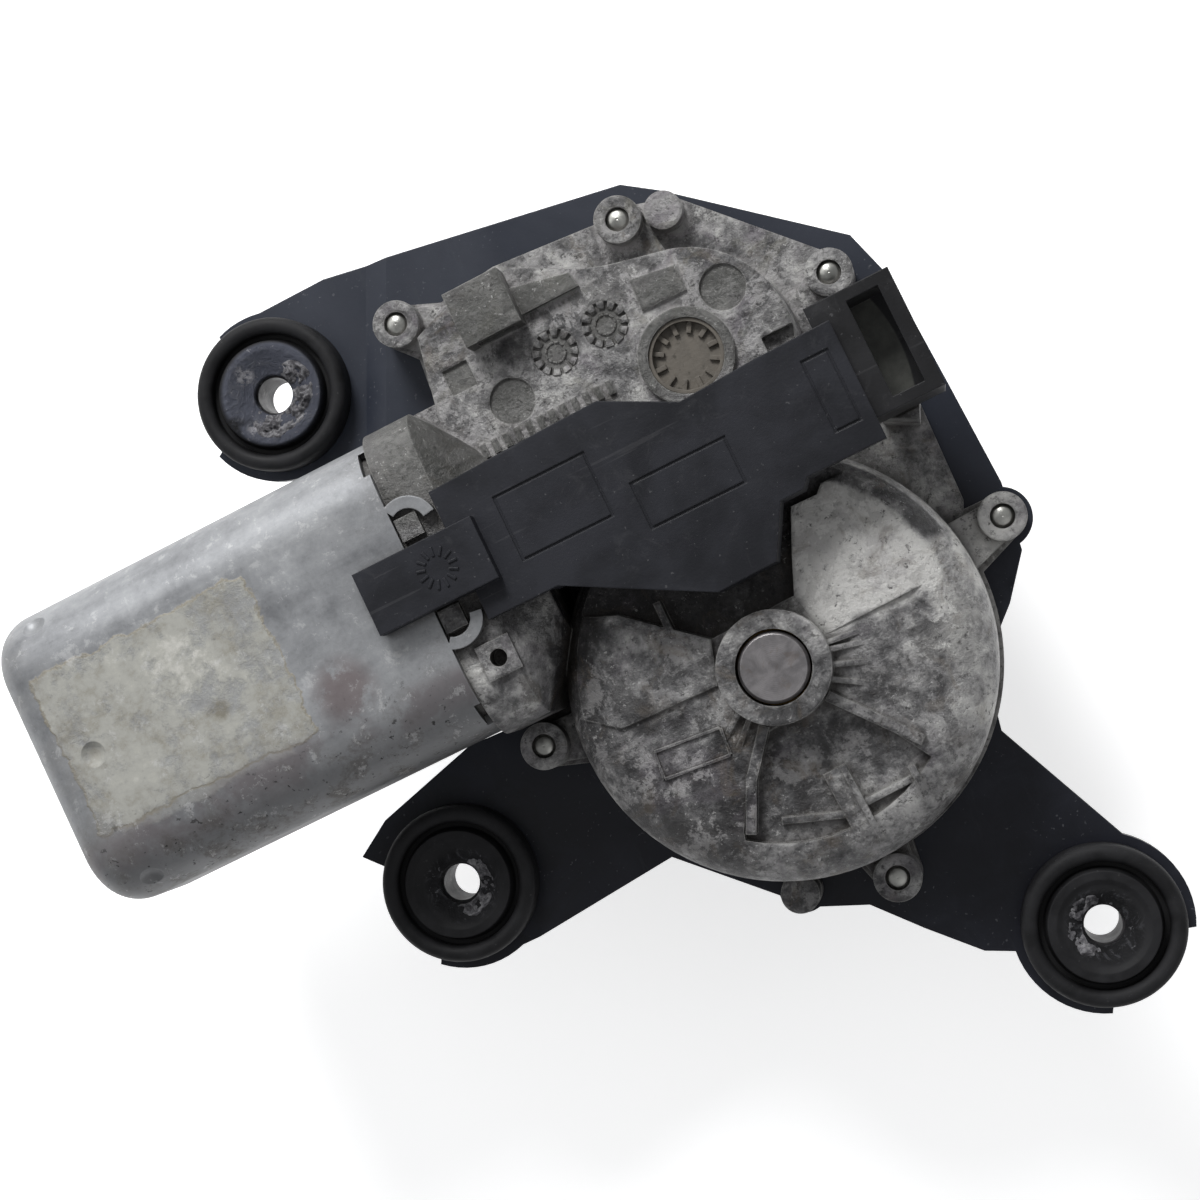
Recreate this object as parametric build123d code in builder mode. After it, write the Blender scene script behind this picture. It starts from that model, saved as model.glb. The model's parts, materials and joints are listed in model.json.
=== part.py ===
"""Wiper motor: a reversing worm drive on a three-arm bracket.

Millimetres. The origin is on the output axis, at the bracket's outer face. +Z points to the back of the
gear housing, +X runs along the armature from the closed end of the can to the connector.
"""
from build123d import *
import math
import os

os.makedirs("parts", exist_ok=True)

# ---------------------------------------------------------------- driving dimensions
sheet = 2.5  # bracket sheet
gasket_thickness = 0.6
running = 0.03  # radial clearance of a shaft in its bush
seat = 0.05  # clearance of a piece pushed into its seat
apart = 0.3  # gap between pieces that must not touch

gear_module = 1.0
wheel_teeth = 67
worm_pitch_radius = 4.5
backlash = 0.26
pressure_angle = 20.0
press = 0.02  # clearance left between pieces pressed onto one shaft
axis_offset = wheel_teeth * gear_module / 2 + worm_pitch_radius  # armature axis from the output axis
axis_level = 17.5  # armature axis above the bracket's outer face

can_mouth_x = -46.5
can_length = 75.8
can_half_width = 27.0
can_half_height = 18.5
can_corner = 10.8
can_wall = 1.5
can_end_round = 7.5

dome_radius = 37.3
dome_wall = 2.2
dome_crown = 27.6
dome_rim_level = 26.0
dome_shoulder = 7.5
flange_thickness = 3.6
deck_level = 24.0
deck_wall = 3.0
pocket_level = 23.9
boss_radius = 9.6
boss_level = 32.0
boss_bore = 6.4
tube_radius = 9.2
pad_level = 28.3
bell_depth = 8.5
bell_neck = 9.0  # length of the taper behind the bell
corner_web_length = 11.0
corner_web_width = 9.0
corner_web_height = 4.0
bell_half_width = 28.4
bell_half_height = 16.7

shaft_radius = 6.0
shaft_top = 31.7
shaft_edge = 0.5
bush_wall = 2.0
bush_top = 27.0
spindle_tube_radius = 9.5
spindle_tube_length = 24.0
spindle_collar_radius = 9.95
spindle_bore = 8.0
wheel_face = 7.5
wheel_bottom = 13.6

armature_shaft_radius = 3.0
stack_radius = 15.2
stack_length = 34.0
stack_start_x = -105.0

cover_level = 36.8
cover_wall = 2.0
skirt_level = 28.7
tongue_thickness = 3.5

screw_hole_radius = 2.15
ear_radius = 4.2
ear_height = 10.0
ear_web_height = 6.5
screw_recess = 0.5  # the screws' ends lie this far below the ears' tops

grommet_radius = 14.1
eye_edge = 1.7  # sheet that shows round a grommet's lip
sleeve_bore = 3.3
sleeve_wall = 1.2

# places on the plan
screw_places = [(8.1, 82.4), (36.8, 57.2), (-35.3, 84.1), (44.8, 6.4), (1.8, -41.5), (-44.0, 5.2)]
dowel_places = [(15.9, 80.6), (-14.8, -37.2)]
vent_centre = (9.2, 53.7)
vent_radius = 6.5
deck_marks = [(-20.9, 60.4), (19.7, 61.4), (-10.6, 64.5), (-0.9, 64.9)]
ripple_count = 12
ripple_pitch = 2.2
connector_level = 22.5
front_bush_radius = 6.0
end_bush_radius = 5.5
dowel_radius = 1.55
dowel_top = 8.5
board_top = 8.1
board_thickness = 1.6
board_posts = [(-25.0, 74.0), (-27.0, 54.8), (20.5, 55.5)]
eyes = {
    # name: centre, first and last angle of the open side, height of the arm's end above the plate
    "upper": ((-63.3, 85.2), (106, 202), -2.0),
    "lower": ((-70.2, -10.2), (141, 232), 0.0),
    "right": ((29.6, -64.4), (-113, -24), 0.0),
}

# derived levels and places
joint_level = sheet + gasket_thickness
can_end_x = can_mouth_x - can_length
bell_end_x = can_mouth_x + bell_depth
can_top = axis_level + can_half_height
bell_top = axis_level + bell_half_height
wheel_pitch_radius = wheel_teeth * gear_module / 2
wheel_tip_radius = wheel_pitch_radius + gear_module
wheel_top = wheel_bottom + wheel_face
cavity_radius = dome_radius - dome_wall
cavity_ceiling = wheel_top + 0.8
bush_radius = shaft_radius + bush_wall
worm_tip_radius = worm_pitch_radius + gear_module
worm_root_radius = worm_pitch_radius - 1.2 * gear_module
worm_half_length = 9.5
channel_radius = worm_tip_radius + 0.7
lead = math.pi * gear_module
lead_angle = math.degrees(math.atan(lead / (2 * math.pi * worm_pitch_radius)))
inner_half_width = can_half_width - can_wall
inner_half_height = can_half_height - can_wall
inner_corner = can_corner - can_wall
commutator_wall_x = can_mouth_x + 5.5  # wall between the commutator space and the worm channel
spigot_depth = 3.0
tube_end_x = 21.0
end_seat_x = 15.5
end_seat_depth = 4.3
shaft_end_x = end_seat_x + 3.1


def polar(radius, angle, centre=(0, 0)):
    """Point at a radius and an angle in degrees about a centre."""
    turn = math.radians(angle)
    return (centre[0] + radius * math.cos(turn), centre[1] + radius * math.sin(turn))


def along_axis(x):
    """Plane square to the armature axis at x, with local x along +Y and local y along +Z."""
    return Plane(origin=(x, axis_offset, axis_level), x_dir=(0, 1, 0), z_dir=(1, 0, 0))


def web_points(ear, anchor, ear_half, anchor_half):
    """Four corners of the web that joins an ear to the body."""
    dx = anchor[0] - ear[0]
    dy = anchor[1] - ear[1]
    length = math.hypot(dx, dy)
    side = (-dy / length, dx / length)
    return [
        (ear[0] + side[0] * ear_half, ear[1] + side[1] * ear_half),
        (ear[0] - side[0] * ear_half, ear[1] - side[1] * ear_half),
        (anchor[0] - side[0] * anchor_half, anchor[1] - side[1] * anchor_half),
        (anchor[0] + side[0] * anchor_half, anchor[1] + side[1] * anchor_half),
    ]


def rise(height, mode=Mode.ADD, taper=0.0):
    """Extrude the pending plan sketch upwards."""
    extrude(amount=height, dir=(0, 0, 1), mode=mode, taper=taper)


def prism(points, low, high):
    """Upright prism over a polygon between two levels."""
    with BuildPart() as body:
        with BuildSketch(Plane.XY.offset(low)):
            with BuildLine():
                Polyline(*points, close=True)
            make_face()
        rise(high - low)
    return body.part


def block(x_span, y_span, low, high):
    """Upright block between two levels."""
    corners = [(x_span[0], y_span[0]), (x_span[1], y_span[0]), (x_span[1], y_span[1]), (x_span[0], y_span[1])]
    return prism(corners, low, high)


def save(piece, name):
    piece.part.label = name
    export_step(piece.part, f"parts/{name}.step")


def save_collars(name, *collars):
    """Node made of plain collars, each given as plane, inner radius, outer radius and length."""
    with BuildPart() as body:
        for plane, inner, outer, length in collars:
            with BuildSketch(plane):
                Circle(outer)
                Circle(inner, mode=Mode.SUBTRACT)
            extrude(amount=length)
    save(body, name)


# ---------------------------------------------------------------- gear housing
flange_points = [
    (-37.7, 60.0),
    (-36.0, 70.0),
    (-35.0, 80.0),
    (-30.0, 84.8),
    (-16.1, 86.6),
    (4.0, 84.8),
    (12.0, 84.6),
    (18.6, 82.6),
    (37.9, 61.8),
    (41.0, 30.3),
    (40.3, 12.0),
    (30.0, -10.0),
    (-37.7, -1.0),
]
chamber_points = [(-31.5, 51.5), (-31.5, 75.0), (-24.0, 78.0), (-12.0, 78.8), (3.0, 71.5), (16.5, 67.5), (23.5, 61.5)]
chamber_points += [(25.5, 51.5)]
deck_points = [(4.6, 74.7), (-0.3, 76.3), (-11.4, 82.4), (-24.9, 81.3), (-32.0, 78.5), (-34.8, 64.0)]
deck_arc_radius = 19.5
web_anchors = [(8.1, 74.0), (28.0, 50.0), (-27.0, 78.0), (32.0, 4.0), (1.0, -30.0), (-30.0, 3.0)]
pocket_points = [
    (-38.7, 28.0),
    (-29.0, 22.9),
    (-20.1, 19.2),
    (-14.8, 14.7),
    (-7.7, 8.8),
    (7.9, 9.3),
    (10.3, 15.0),
    (13.9, 22.9),
    (18.6, 22.8),
    (20.0, 24.2),
    (40.0, 24.2),
    (40.0, 38.0),
    (-38.7, 38.0),
]

connector_seat = ((21.7, 48.0), (28.6, 50.7))
connector_lug = [(33.9, 29.7), (39.4, 26.9), (40.9, 30.0), (35.4, 32.7)]
wire_channel = ((-44.0, -25.0), (33.5, 43.2))
wire_channel_floor = 29.2
hook_centres = [(-44.2, 47.5), (-44.2, 30.5)]
hook_lug = 4.0
bell_pad_centre = (-40.2, 21.3)

# raised and sunk fields of the dome's crown
left_field = [(-10.1, 1.4), (-7.7, 8.8), (-14.8, 14.7), (-20.1, 19.2), (-29.0, 22.9), (-33.5, 6.0), (-27.9, 1.9)]
bright_field = [(7.9, 9.3), (9.5, 1.2), (28.0, 1.7), (34.6, 6.0), (30.2, 24.2), (12.5, 24.2)]
sunk_field_radius = 29.6
sunk_field = [(6.8, -8.0), (-7.6, -9.4), (-13.3, -16.1), (-17.0, -22.6)]
sunk_field += [polar(sunk_field_radius, angle) for angle in range(-126, -49, 7)]
crown_ribs = [
    # start, end, width, height above the crown
    ((5.6, -8.0), (16.6, -21.4), 1.8, 1.1),
    ((-6.0, -8.0), (-11.8, -15.1), 1.8, 1.1),
    ((-11.6, -14.6), (-16.0, -23.4), 1.8, 1.1),
    ((12.9, -24.4), (13.1, -31.0), 1.2, 0.4),
    ((0.9, -19.5), (1.5, -35.0), 3.6, -0.1),
    ((2.7, -19.5), (3.3, -35.0), 1.1, 0.5),
    ((-10.5, -23.6), (0.1, -27.3), 1.2, -0.5),
    ((3.4, -26.7), (14.6, -26.3), 1.2, -0.5),
]
gussets = [
    # start and end of the thin ribs that run down from the boss
    ((7.0, 0.2), (14.8, -0.6)),
    ((7.0, -0.7), (15.3, -2.7)),
    ((6.5, -2.9), (14.6, -6.0)),
    ((5.6, -4.7), (12.8, -9.2)),
    ((-8.0, -3.6), (-14.0, -7.9)),
    ((-7.0, -5.2), (-12.6, -10.6)),
]
gusset_width = 0.9


def turned(*top):
    """Round body about the output axis under a top line given from the axis outwards."""
    with BuildPart() as body:
        with BuildSketch(Plane.XZ):
            with BuildLine():
                Polyline(*top, (top[-1][0], cavity_ceiling - 2.0), (0, cavity_ceiling - 2.0), close=True)
            make_face()
        revolve(axis=Axis.Z)
    return body.part


def crown_body(height):
    """Round body whose top lies a given height above the dome's crown."""
    edge = dome_radius - dome_shoulder
    return turned((0, dome_crown + height), (edge, dome_rim_level + height), (edge + 4.2, dome_rim_level - 1.9 + height))


def on_crown(points, height):
    """Field over a polygon that stands a given height above the crown."""
    return prism(points, cavity_ceiling + 1.5, boss_level) & crown_body(height)


def rib_points(start, end, width):
    """Corners of a rib between two points."""
    return web_points(start, end, width / 2, width / 2)


crown_hollow = prism(sunk_field, cavity_ceiling, boss_level) - crown_body(-1.4)
plateau_level = dome_crown - 0.5
plateau = turned((0, plateau_level), (dome_radius - 12.5, plateau_level), (dome_radius - 3.6, dome_rim_level - 1.9))
gusset_slope = turned((0, dome_crown + 3.2), (16.0, dome_crown - 1.0))
crown_fields = [on_crown(left_field, 0.6), prism(bright_field, cavity_ceiling + 1.5, boss_level) & plateau]
for start, end in gussets:
    crown_fields.append(prism(rib_points(start, end, gusset_width), cavity_ceiling + 1.5, boss_level) & gusset_slope)
for start, end, width, height in crown_ribs:
    crown_fields.append(on_crown(rib_points(start, end, width), height))
pocket_web = block((-14.0, -12.8), (13.0, 18.4), pocket_level - 1.0, dome_crown - 0.4)
deck_bodies = [
    prism([(5.8, 63.9), (14.1, 63.7), (14.2, 68.4), (6.1, 69.7)], deck_level - 1.0, deck_level + 0.5),
    block((-23.2, -12.8), (71.0, 81.0), deck_level - 1.0, deck_level + 6.0),
    prism([(-13.4, 72.6), (-2.0, 72.6), (-2.5, 75.4), (-13.4, 77.8)], deck_level - 1.0, deck_level + 1.5),
]
for step in range(ripple_count):
    ripple_x = -29.5 + ripple_pitch * step
    ripple = block((ripple_x, ripple_x + ripple_pitch / 2), (53.5, 56.0), deck_level - 1.0, deck_level + 0.7)
    deck_bodies.append(ripple)
window_hollow = block((-21.5, -14.5), (69.0, 78.5), deck_level + 0.5, deck_level + 4.5)
connector_post = prism(connector_lug, joint_level, connector_level)
connector_hollow = block(*connector_seat, connector_level - apart, 40.0)
lead_hollow = block(*wire_channel, wire_channel_floor, 40.0)

with BuildPart() as gear_housing:
    # dome over the worm wheel, with a slightly conical crown
    with BuildSketch(Plane.XZ):
        with BuildLine():
            side_top = (dome_radius - 0.5, dome_rim_level - dome_shoulder)
            crown_edge = (dome_radius - dome_shoulder, dome_rim_level)
            Line((0, joint_level), (dome_radius, joint_level))
            Line((dome_radius, joint_level), side_top)
            RadiusArc(side_top, crown_edge, -dome_shoulder - 0.4)
            Line(crown_edge, (0, dome_crown))
            Line((0, dome_crown), (0, joint_level))
        make_face()
    revolve(axis=Axis.Z)
    # base flange with the webs of the ears
    with BuildSketch(Plane.XY.offset(joint_level)):
        Circle(dome_radius + 0.6)
        with BuildLine():
            Polyline(*flange_points, close=True)
        make_face()
        for place, anchor in zip(screw_places, web_anchors):
            with BuildLine():
                Polyline(*web_points(place, anchor, ear_radius, ear_radius + 2.5), close=True)
            make_face()
            with Locations(place):
                Circle(ear_radius)
        for place in dowel_places:
            with Locations(place):
                Circle(ear_radius - 0.6)
    rise(flange_thickness)
    # webs that stiffen the ears
    for place, anchor in zip(screw_places, web_anchors):
        with BuildSketch(Plane.XY.offset(joint_level)):
            with BuildLine():
                Polyline(*web_points(place, anchor, ear_radius - 0.8, ear_radius + 1.0), close=True)
            make_face()
        rise(ear_web_height)
    # deck over the electronics chamber, drafted, with a round stretch about the vent
    with BuildSketch(Plane.XY.offset(joint_level)):
        with BuildLine():
            arc_start = polar(deck_arc_radius, 72, vent_centre)
            arc_end = polar(deck_arc_radius, -12, vent_centre)
            Polyline((-34.8, 40.0), (24.0, 40.0), arc_end)
            ThreePointArc(arc_end, polar(deck_arc_radius, 30, vent_centre), arc_start)
            Polyline(arc_start, *deck_points, (-34.8, 40.0))
        make_face()
    rise(deck_level - joint_level, taper=3)
    # worm tube with the flat pad that carries the connector moulding
    with BuildSketch(along_axis(bell_end_x)):
        Circle(tube_radius)
    extrude(amount=tube_end_x - bell_end_x)
    with BuildSketch(Plane.XY.offset(axis_level)):
        with Locations((-2.0, axis_offset)):
            Rectangle(46.0, 13.0)
    rise(pad_level - axis_level)
    # end bell that the can seats on, running down into the body
    with BuildSketch(along_axis(can_mouth_x)):
        RectangleRounded(2 * bell_half_width, 2 * bell_half_height, can_corner - 0.5)
    extrude(amount=bell_depth)
    with BuildSketch(along_axis(bell_end_x)):
        RectangleRounded(2 * bell_half_width, 2 * bell_half_height, can_corner - 0.5)
    with BuildSketch(along_axis(bell_end_x + bell_neck)):
        RectangleRounded(2 * bell_half_width - 21.0, 2 * bell_half_height - 15.0, 8.0)
    loft()
    # spigot inside the can's mouth
    with BuildSketch(along_axis(can_mouth_x)):
        RectangleRounded(2 * (inner_half_width - seat), 2 * (inner_half_height - seat), inner_corner)
    extrude(amount=-spigot_depth)
    # webs that close the two corners between the bell and the body
    with BuildSketch(Plane.XY.offset(joint_level)):
        with Locations((-39.0, 64.6), (-39.0, 11.9)):
            Rectangle(corner_web_length, corner_web_width)
    extrude(amount=corner_web_height)
    # everything in front of the bell stops at the joint face
    with BuildSketch(Plane.XY.offset(joint_level)):
        with Locations((bell_end_x + 60.0, 25.0)):
            Rectangle(120.0, 160.0)
    extrude(amount=-joint_level - 5.0, mode=Mode.SUBTRACT)
    # raised and sunk fields and the ribs of the crown
    add(crown_hollow, mode=Mode.SUBTRACT)
    for body in crown_fields:
        add(body)
    # pocket between the boss and the cover
    with BuildSketch(Plane.XY.offset(pocket_level)):
        with BuildLine():
            Polyline(*pocket_points, close=True)
        make_face()
        with Locations((0, 0)):
            Circle(boss_radius - 0.5, mode=Mode.SUBTRACT)
        with BuildLine():
            Polyline((-26.0, axis_offset - 6.6), (-26.0, 45.0), (22.0, 45.0), (22.0, axis_offset - 6.6), close=True)
        make_face(mode=Mode.SUBTRACT)
        with BuildLine():
            Polyline((-60.0, 20.0), (-60.0, 45.0), (-26.0, 45.0), (-26.0, 20.0), close=True)
        make_face(mode=Mode.SUBTRACT)
    rise(5.0, Mode.SUBTRACT)
    # web left standing across the pocket
    add(pocket_web)
    # output boss
    with BuildSketch(Plane.XY.offset(cavity_ceiling + 1.0)):
        Circle(boss_radius)
    rise(boss_level - cavity_ceiling - 1.0)
    # ring round the vent, the deck's raised plate, its window block and its ripple
    with BuildSketch(Plane.XY.offset(deck_level - 1.0)):
        with Locations(vent_centre):
            Circle(vent_radius + 1.8)
    rise(2.0)
    for body in deck_bodies:
        add(body)
    add(window_hollow, mode=Mode.SUBTRACT)
    with BuildSketch(Plane.XY.offset(deck_level - 0.5)):
        with Locations(*deck_marks):
            Circle(4.0)
        with Locations((-27.4, 68.1)):
            Rectangle(4.7, 4.7)
    rise(1.0, Mode.SUBTRACT)
    # lugs for the can's hooks and the drilled pad on the bell
    for lug_low in (bell_top - 1.0, axis_level - bell_half_height - 1.4):
        with BuildSketch(Plane.XY.offset(lug_low)):
            with Locations(*hook_centres):
                Rectangle(hook_lug, hook_lug)
        rise(2.4)
    with BuildSketch(Plane.XY.offset(bell_top - 9.0)):
        with Locations(bell_pad_centre):
            Rectangle(6.2, 6.2)
    rise(9.6)
    with BuildSketch(Plane.XY.offset(bell_top - 3.0)):
        with Locations(bell_pad_centre):
            Circle(1.5)
    rise(4.0, Mode.SUBTRACT)
    # seat of the connector and the lug under its outer end
    add(connector_post)
    add(connector_hollow, mode=Mode.SUBTRACT)
    # channel for the leads into the commutator space
    add(lead_hollow, mode=Mode.SUBTRACT)
    # screw ears and dowel bosses
    for place in screw_places:
        with BuildSketch(Plane.XY.offset(joint_level)):
            with Locations(place):
                Circle(ear_radius)
        rise(ear_height)
    for place in dowel_places:
        with BuildSketch(Plane.XY.offset(joint_level)):
            with Locations(place):
                Circle(ear_radius - 0.8)
        rise(ear_height - 2.0)
    # wheel cavity, chamber, worm channel and commutator space
    with BuildSketch(Plane.XY.offset(joint_level)):
        Circle(cavity_radius)
    rise(cavity_ceiling - joint_level, Mode.SUBTRACT)
    with BuildSketch(Plane.XY.offset(joint_level)):
        with BuildLine():
            Polyline(*chamber_points, close=True)
        make_face()
    rise(deck_level - deck_wall - joint_level, Mode.SUBTRACT)
    for place in board_posts:
        with BuildSketch(Plane.XY.offset(board_top)):
            with Locations(place):
                Circle(2.2)
        rise(deck_level - deck_wall - board_top)
    with BuildSketch(Plane.XY.offset(joint_level)):
        with Locations(vent_centre):
            Circle(vent_radius)
    rise(deck_level, Mode.SUBTRACT)
    with BuildSketch(along_axis(bell_end_x)):
        Circle(channel_radius)
    extrude(amount=end_seat_x - bell_end_x, mode=Mode.SUBTRACT)
    with BuildSketch(along_axis(can_mouth_x - spigot_depth)):
        RectangleRounded(2 * inner_half_width - 8.0, 2 * inner_half_height - 8.0, inner_corner - 3.0)
    extrude(amount=commutator_wall_x - can_mouth_x + spigot_depth, mode=Mode.SUBTRACT)
    # bush seats on the armature axis and on the output axis
    with BuildSketch(along_axis(commutator_wall_x)):
        Circle(front_bush_radius + seat)
    extrude(amount=4.0, mode=Mode.SUBTRACT)
    with BuildSketch(along_axis(end_seat_x)):
        Circle(end_bush_radius + seat)
    extrude(amount=end_seat_depth, mode=Mode.SUBTRACT)
    with BuildSketch(Plane.XY.offset(cavity_ceiling)):
        Circle(bush_radius + seat)
    rise(bush_top - cavity_ceiling, Mode.SUBTRACT)
    with BuildSketch(Plane.XY.offset(cavity_ceiling)):
        Circle(boss_bore)
    rise(boss_level - cavity_ceiling, Mode.SUBTRACT)
    # screw holes and blind dowel holes
    for place in screw_places:
        with BuildSketch(Plane.XY.offset(joint_level)):
            with Locations(place):
                Circle(screw_hole_radius)
        rise(ear_height, Mode.SUBTRACT)
    for place in dowel_places:
        with BuildSketch(Plane.XY.offset(joint_level)):
            with Locations(place):
                Circle(dowel_radius + seat)
        rise(dowel_top - joint_level + 0.5, Mode.SUBTRACT)
save(gear_housing, "gear_housing")

# ---------------------------------------------------------------- bracket
bracket_points = [
    (-46.1, 100.6),
    (10.7, 90.1),
    (16.7, 85.8),
    (43.2, 63.0),
    (46.2, 53.0),
    (47.0, 31.6),
    (47.6, 12.0),
    (45.6, -0.2),
    (39.7, -7.6),
    (31.1, -15.5),
    (28.6, -27.1),
    (16.0, -36.8),
    (-5.5, -44.8),
    (-14.9, -40.9),
    (-33.7, -22.4),
    (-61.7, -25.2),
    (-76.6, 5.9),
    (-58.9, 10.4),
    (-47.0, 10.6),
    (-47.0, 9.2),
    (-37.5, 9.2),
    (-37.5, 67.2),
    (-47.0, 67.2),
    (-47.0, 66.0),
    (-60.0, 66.0),
]
eye_outer_radius = grommet_radius + eye_edge
eye_neck_radius = 9.6
joggle_turn = 26.0
joggle_start = 73.1
joggle_length = 4.2
arm_points = {
    "upper": [
        (-62.5, 100.6),
        (-66.5, 70.8),
        (-60.0, 66.0),
        (-47.0, 66.0),
        (-25.0, 80.0),
        (-25.0, 96.7),
        (-46.1, 100.6),
    ],
    "lower": [(-70.8, -25.2), (-61.7, -25.2), (-40.0, -23.0), (-40.0, 10.5), (-58.4, 11.4), (-78.6, 5.9), (-85.4, 1.7)],
    "right": [(41.8, -57.5), (28.6, -27.1), (0.0, -30.0), (-5.5, -44.8), (1.4, -52.5), (9.1, -60.4), (17.5, -64.4)],
}


def joggled_sheet(level):
    """Sheet square to the arm that steps from the plate's level to the arm's level."""
    turn = math.radians(180.0 - joggle_turn)
    side_plane = Plane(
        origin=(0, 0, 0),
        x_dir=(math.cos(turn), math.sin(turn), 0),
        z_dir=(math.sin(turn), -math.cos(turn), 0),
    )
    far = joggle_start + 60.0
    end = joggle_start + joggle_length
    low = [(joggle_start - 1.0, 0), (joggle_start, 0), (end, level), (far, level)]
    high = [(far, level + sheet), (end, level + sheet), (joggle_start, sheet), (joggle_start - 1.0, sheet)]
    with BuildPart() as body:
        with BuildSketch(side_plane):
            with BuildLine():
                Polyline(*low, *high, close=True)
            make_face()
        extrude(amount=150.0, both=True)
    return body.part


def arm(name):
    """Arm with its eye and the eye's open side."""
    centre, open_side, level = eyes[name]
    opening = open_wedge(centre, open_side, level)
    stepped = joggled_sheet(level)
    with BuildPart() as body:
        with BuildSketch(Plane.XY.offset(-20.0)):
            with BuildLine():
                Polyline(*arm_points[name], close=True)
            make_face()
            with Locations(centre):
                Circle(eye_outer_radius)
        rise(50.0)
        if level:
            add(stepped, mode=Mode.INTERSECT)
        else:
            add(flat_sheet, mode=Mode.INTERSECT)
        with BuildSketch(Plane.XY.offset(level - 1.0)):
            with Locations(centre):
                Circle(eye_neck_radius)
        rise(sheet + 2.0, Mode.SUBTRACT)
        add(opening, mode=Mode.SUBTRACT)
    return body.part


def open_wedge(centre, open_side, level):
    """Wedge that opens the side of an eye."""
    middle = (open_side[0] + open_side[1]) / 2
    start = polar(eye_outer_radius + 6.0, open_side[0], centre)
    end = polar(eye_outer_radius + 6.0, open_side[1], centre)
    corners = [polar(4.0, middle, centre), start, polar(30.0, middle, centre), end]
    return prism(corners, level - 1.0, level + sheet + 1.0)


def beyond_joggle():
    """Region of the plate beyond the start of the joggle."""
    turn = math.radians(180.0 - joggle_turn)
    side_plane = Plane(
        origin=(0, 0, -20.0),
        x_dir=(math.cos(turn), math.sin(turn), 0),
        z_dir=(0, 0, 1),
    )
    with BuildPart() as body:
        with BuildSketch(side_plane):
            with Locations((joggle_start + 30.0, -50.0)):
                Rectangle(60.0, 100.0)
        extrude(amount=40.0)
    return body.part


flat_sheet = block((-150.0, 150.0), (-150.0, 150.0), 0.0, sheet)
arms = {name: arm(name) for name in eyes}
openings = {name: open_wedge(*eyes[name]) for name in eyes}
joggle_space = beyond_joggle()

with BuildPart() as bracket_plate:
    with BuildSketch():
        with BuildLine():
            Polyline(*bracket_points, close=True)
        make_face()
        with Locations(screw_places[3]):
            Circle(ear_radius + 1.3)
        with Locations(dowel_places[1]):
            Circle(ear_radius + 0.2)
        Circle(dome_radius - 0.2)
    rise(sheet)
    add(joggle_space, mode=Mode.SUBTRACT)
    for name in eyes:
        centre, open_side, level = eyes[name]
        if not level:
            with BuildSketch(Plane.XY.offset(-1.0)):
                with Locations(centre):
                    Circle(eye_neck_radius)
            rise(sheet + 2.0, Mode.SUBTRACT)
            add(openings[name], mode=Mode.SUBTRACT)
        add(arms[name])
    # holes for the screws, the dowels and the spindle tube
    with BuildSketch():
        for place in screw_places:
            with Locations(place):
                Circle(screw_hole_radius)
        for place in dowel_places:
            with Locations(place):
                Circle(dowel_radius + seat)
        Circle(spindle_collar_radius + seat)
    rise(sheet, Mode.SUBTRACT)
save(bracket_plate, "bracket_plate")

# ---------------------------------------------------------------- cover gasket, screws and dowels
with BuildPart() as cover_gasket:
    with BuildSketch(Plane.XY.offset(sheet)):
        Circle(dome_radius + 0.6)
        with BuildLine():
            Polyline(*flange_points, close=True)
        make_face()
        for place, anchor in zip(screw_places, web_anchors):
            with BuildLine():
                Polyline(*web_points(place, anchor, ear_radius, ear_radius + 2.5), close=True)
            make_face()
            with Locations(place):
                Circle(ear_radius)
        Circle(cavity_radius + 0.8, mode=Mode.SUBTRACT)
        with BuildLine():
            Polyline(*chamber_points, close=True)
        make_face(mode=Mode.SUBTRACT)
        with Locations(vent_centre):
            Circle(vent_radius + 1.0, mode=Mode.SUBTRACT)
        for place in screw_places:
            with Locations(place):
                Circle(screw_hole_radius, mode=Mode.SUBTRACT)
        for place in dowel_places:
            with Locations(place):
                Circle(dowel_radius + seat, mode=Mode.SUBTRACT)
        with Locations((bell_end_x - 20.0 + 0.6, 38.0)):
            Rectangle(40.0, 56.5, mode=Mode.SUBTRACT)
    rise(gasket_thickness)
save(cover_gasket, "cover_gasket")

screw_head_radius = 4.0
screw_head_height = 3.2
screw_end_chamfer = 0.6
with BuildPart() as housing_screws:
    with BuildSketch(Plane.XY.offset(-screw_head_height)):
        with Locations(*screw_places):
            Circle(screw_head_radius)
    rise(screw_head_height)
    with BuildSketch():
        with Locations(*screw_places):
            Circle(screw_hole_radius - seat)
    rise(joint_level + ear_height - screw_recess)
    chamfer(housing_screws.faces().sort_by(Axis.Z)[-len(screw_places) :].edges(), screw_end_chamfer)
    with BuildSketch(Plane.XY.offset(-screw_head_height)):
        with Locations(*screw_places):
            RegularPolygon(radius=2.0, side_count=6)
    rise(1.8, Mode.SUBTRACT)
save(housing_screws, "housing_screws")

with BuildPart() as locating_dowels:
    with BuildSketch(Plane.XY.offset(0.2)):
        with Locations(*dowel_places):
            Circle(dowel_radius)
    rise(dowel_top - 0.2)
save(locating_dowels, "locating_dowels")

# ---------------------------------------------------------------- grommets and their sleeves
sleeve_radius = sleeve_bore + sleeve_wall
grommet_low = -4.0
sleeve_low = grommet_low - 1.5
sleeve_top = sheet + 1.2
mouth_radius = sleeve_bore + 0.4  # the rubber's mouth above the sleeve
lip_top = sheet + 5.1
disc_top = sheet + 4.9


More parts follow.
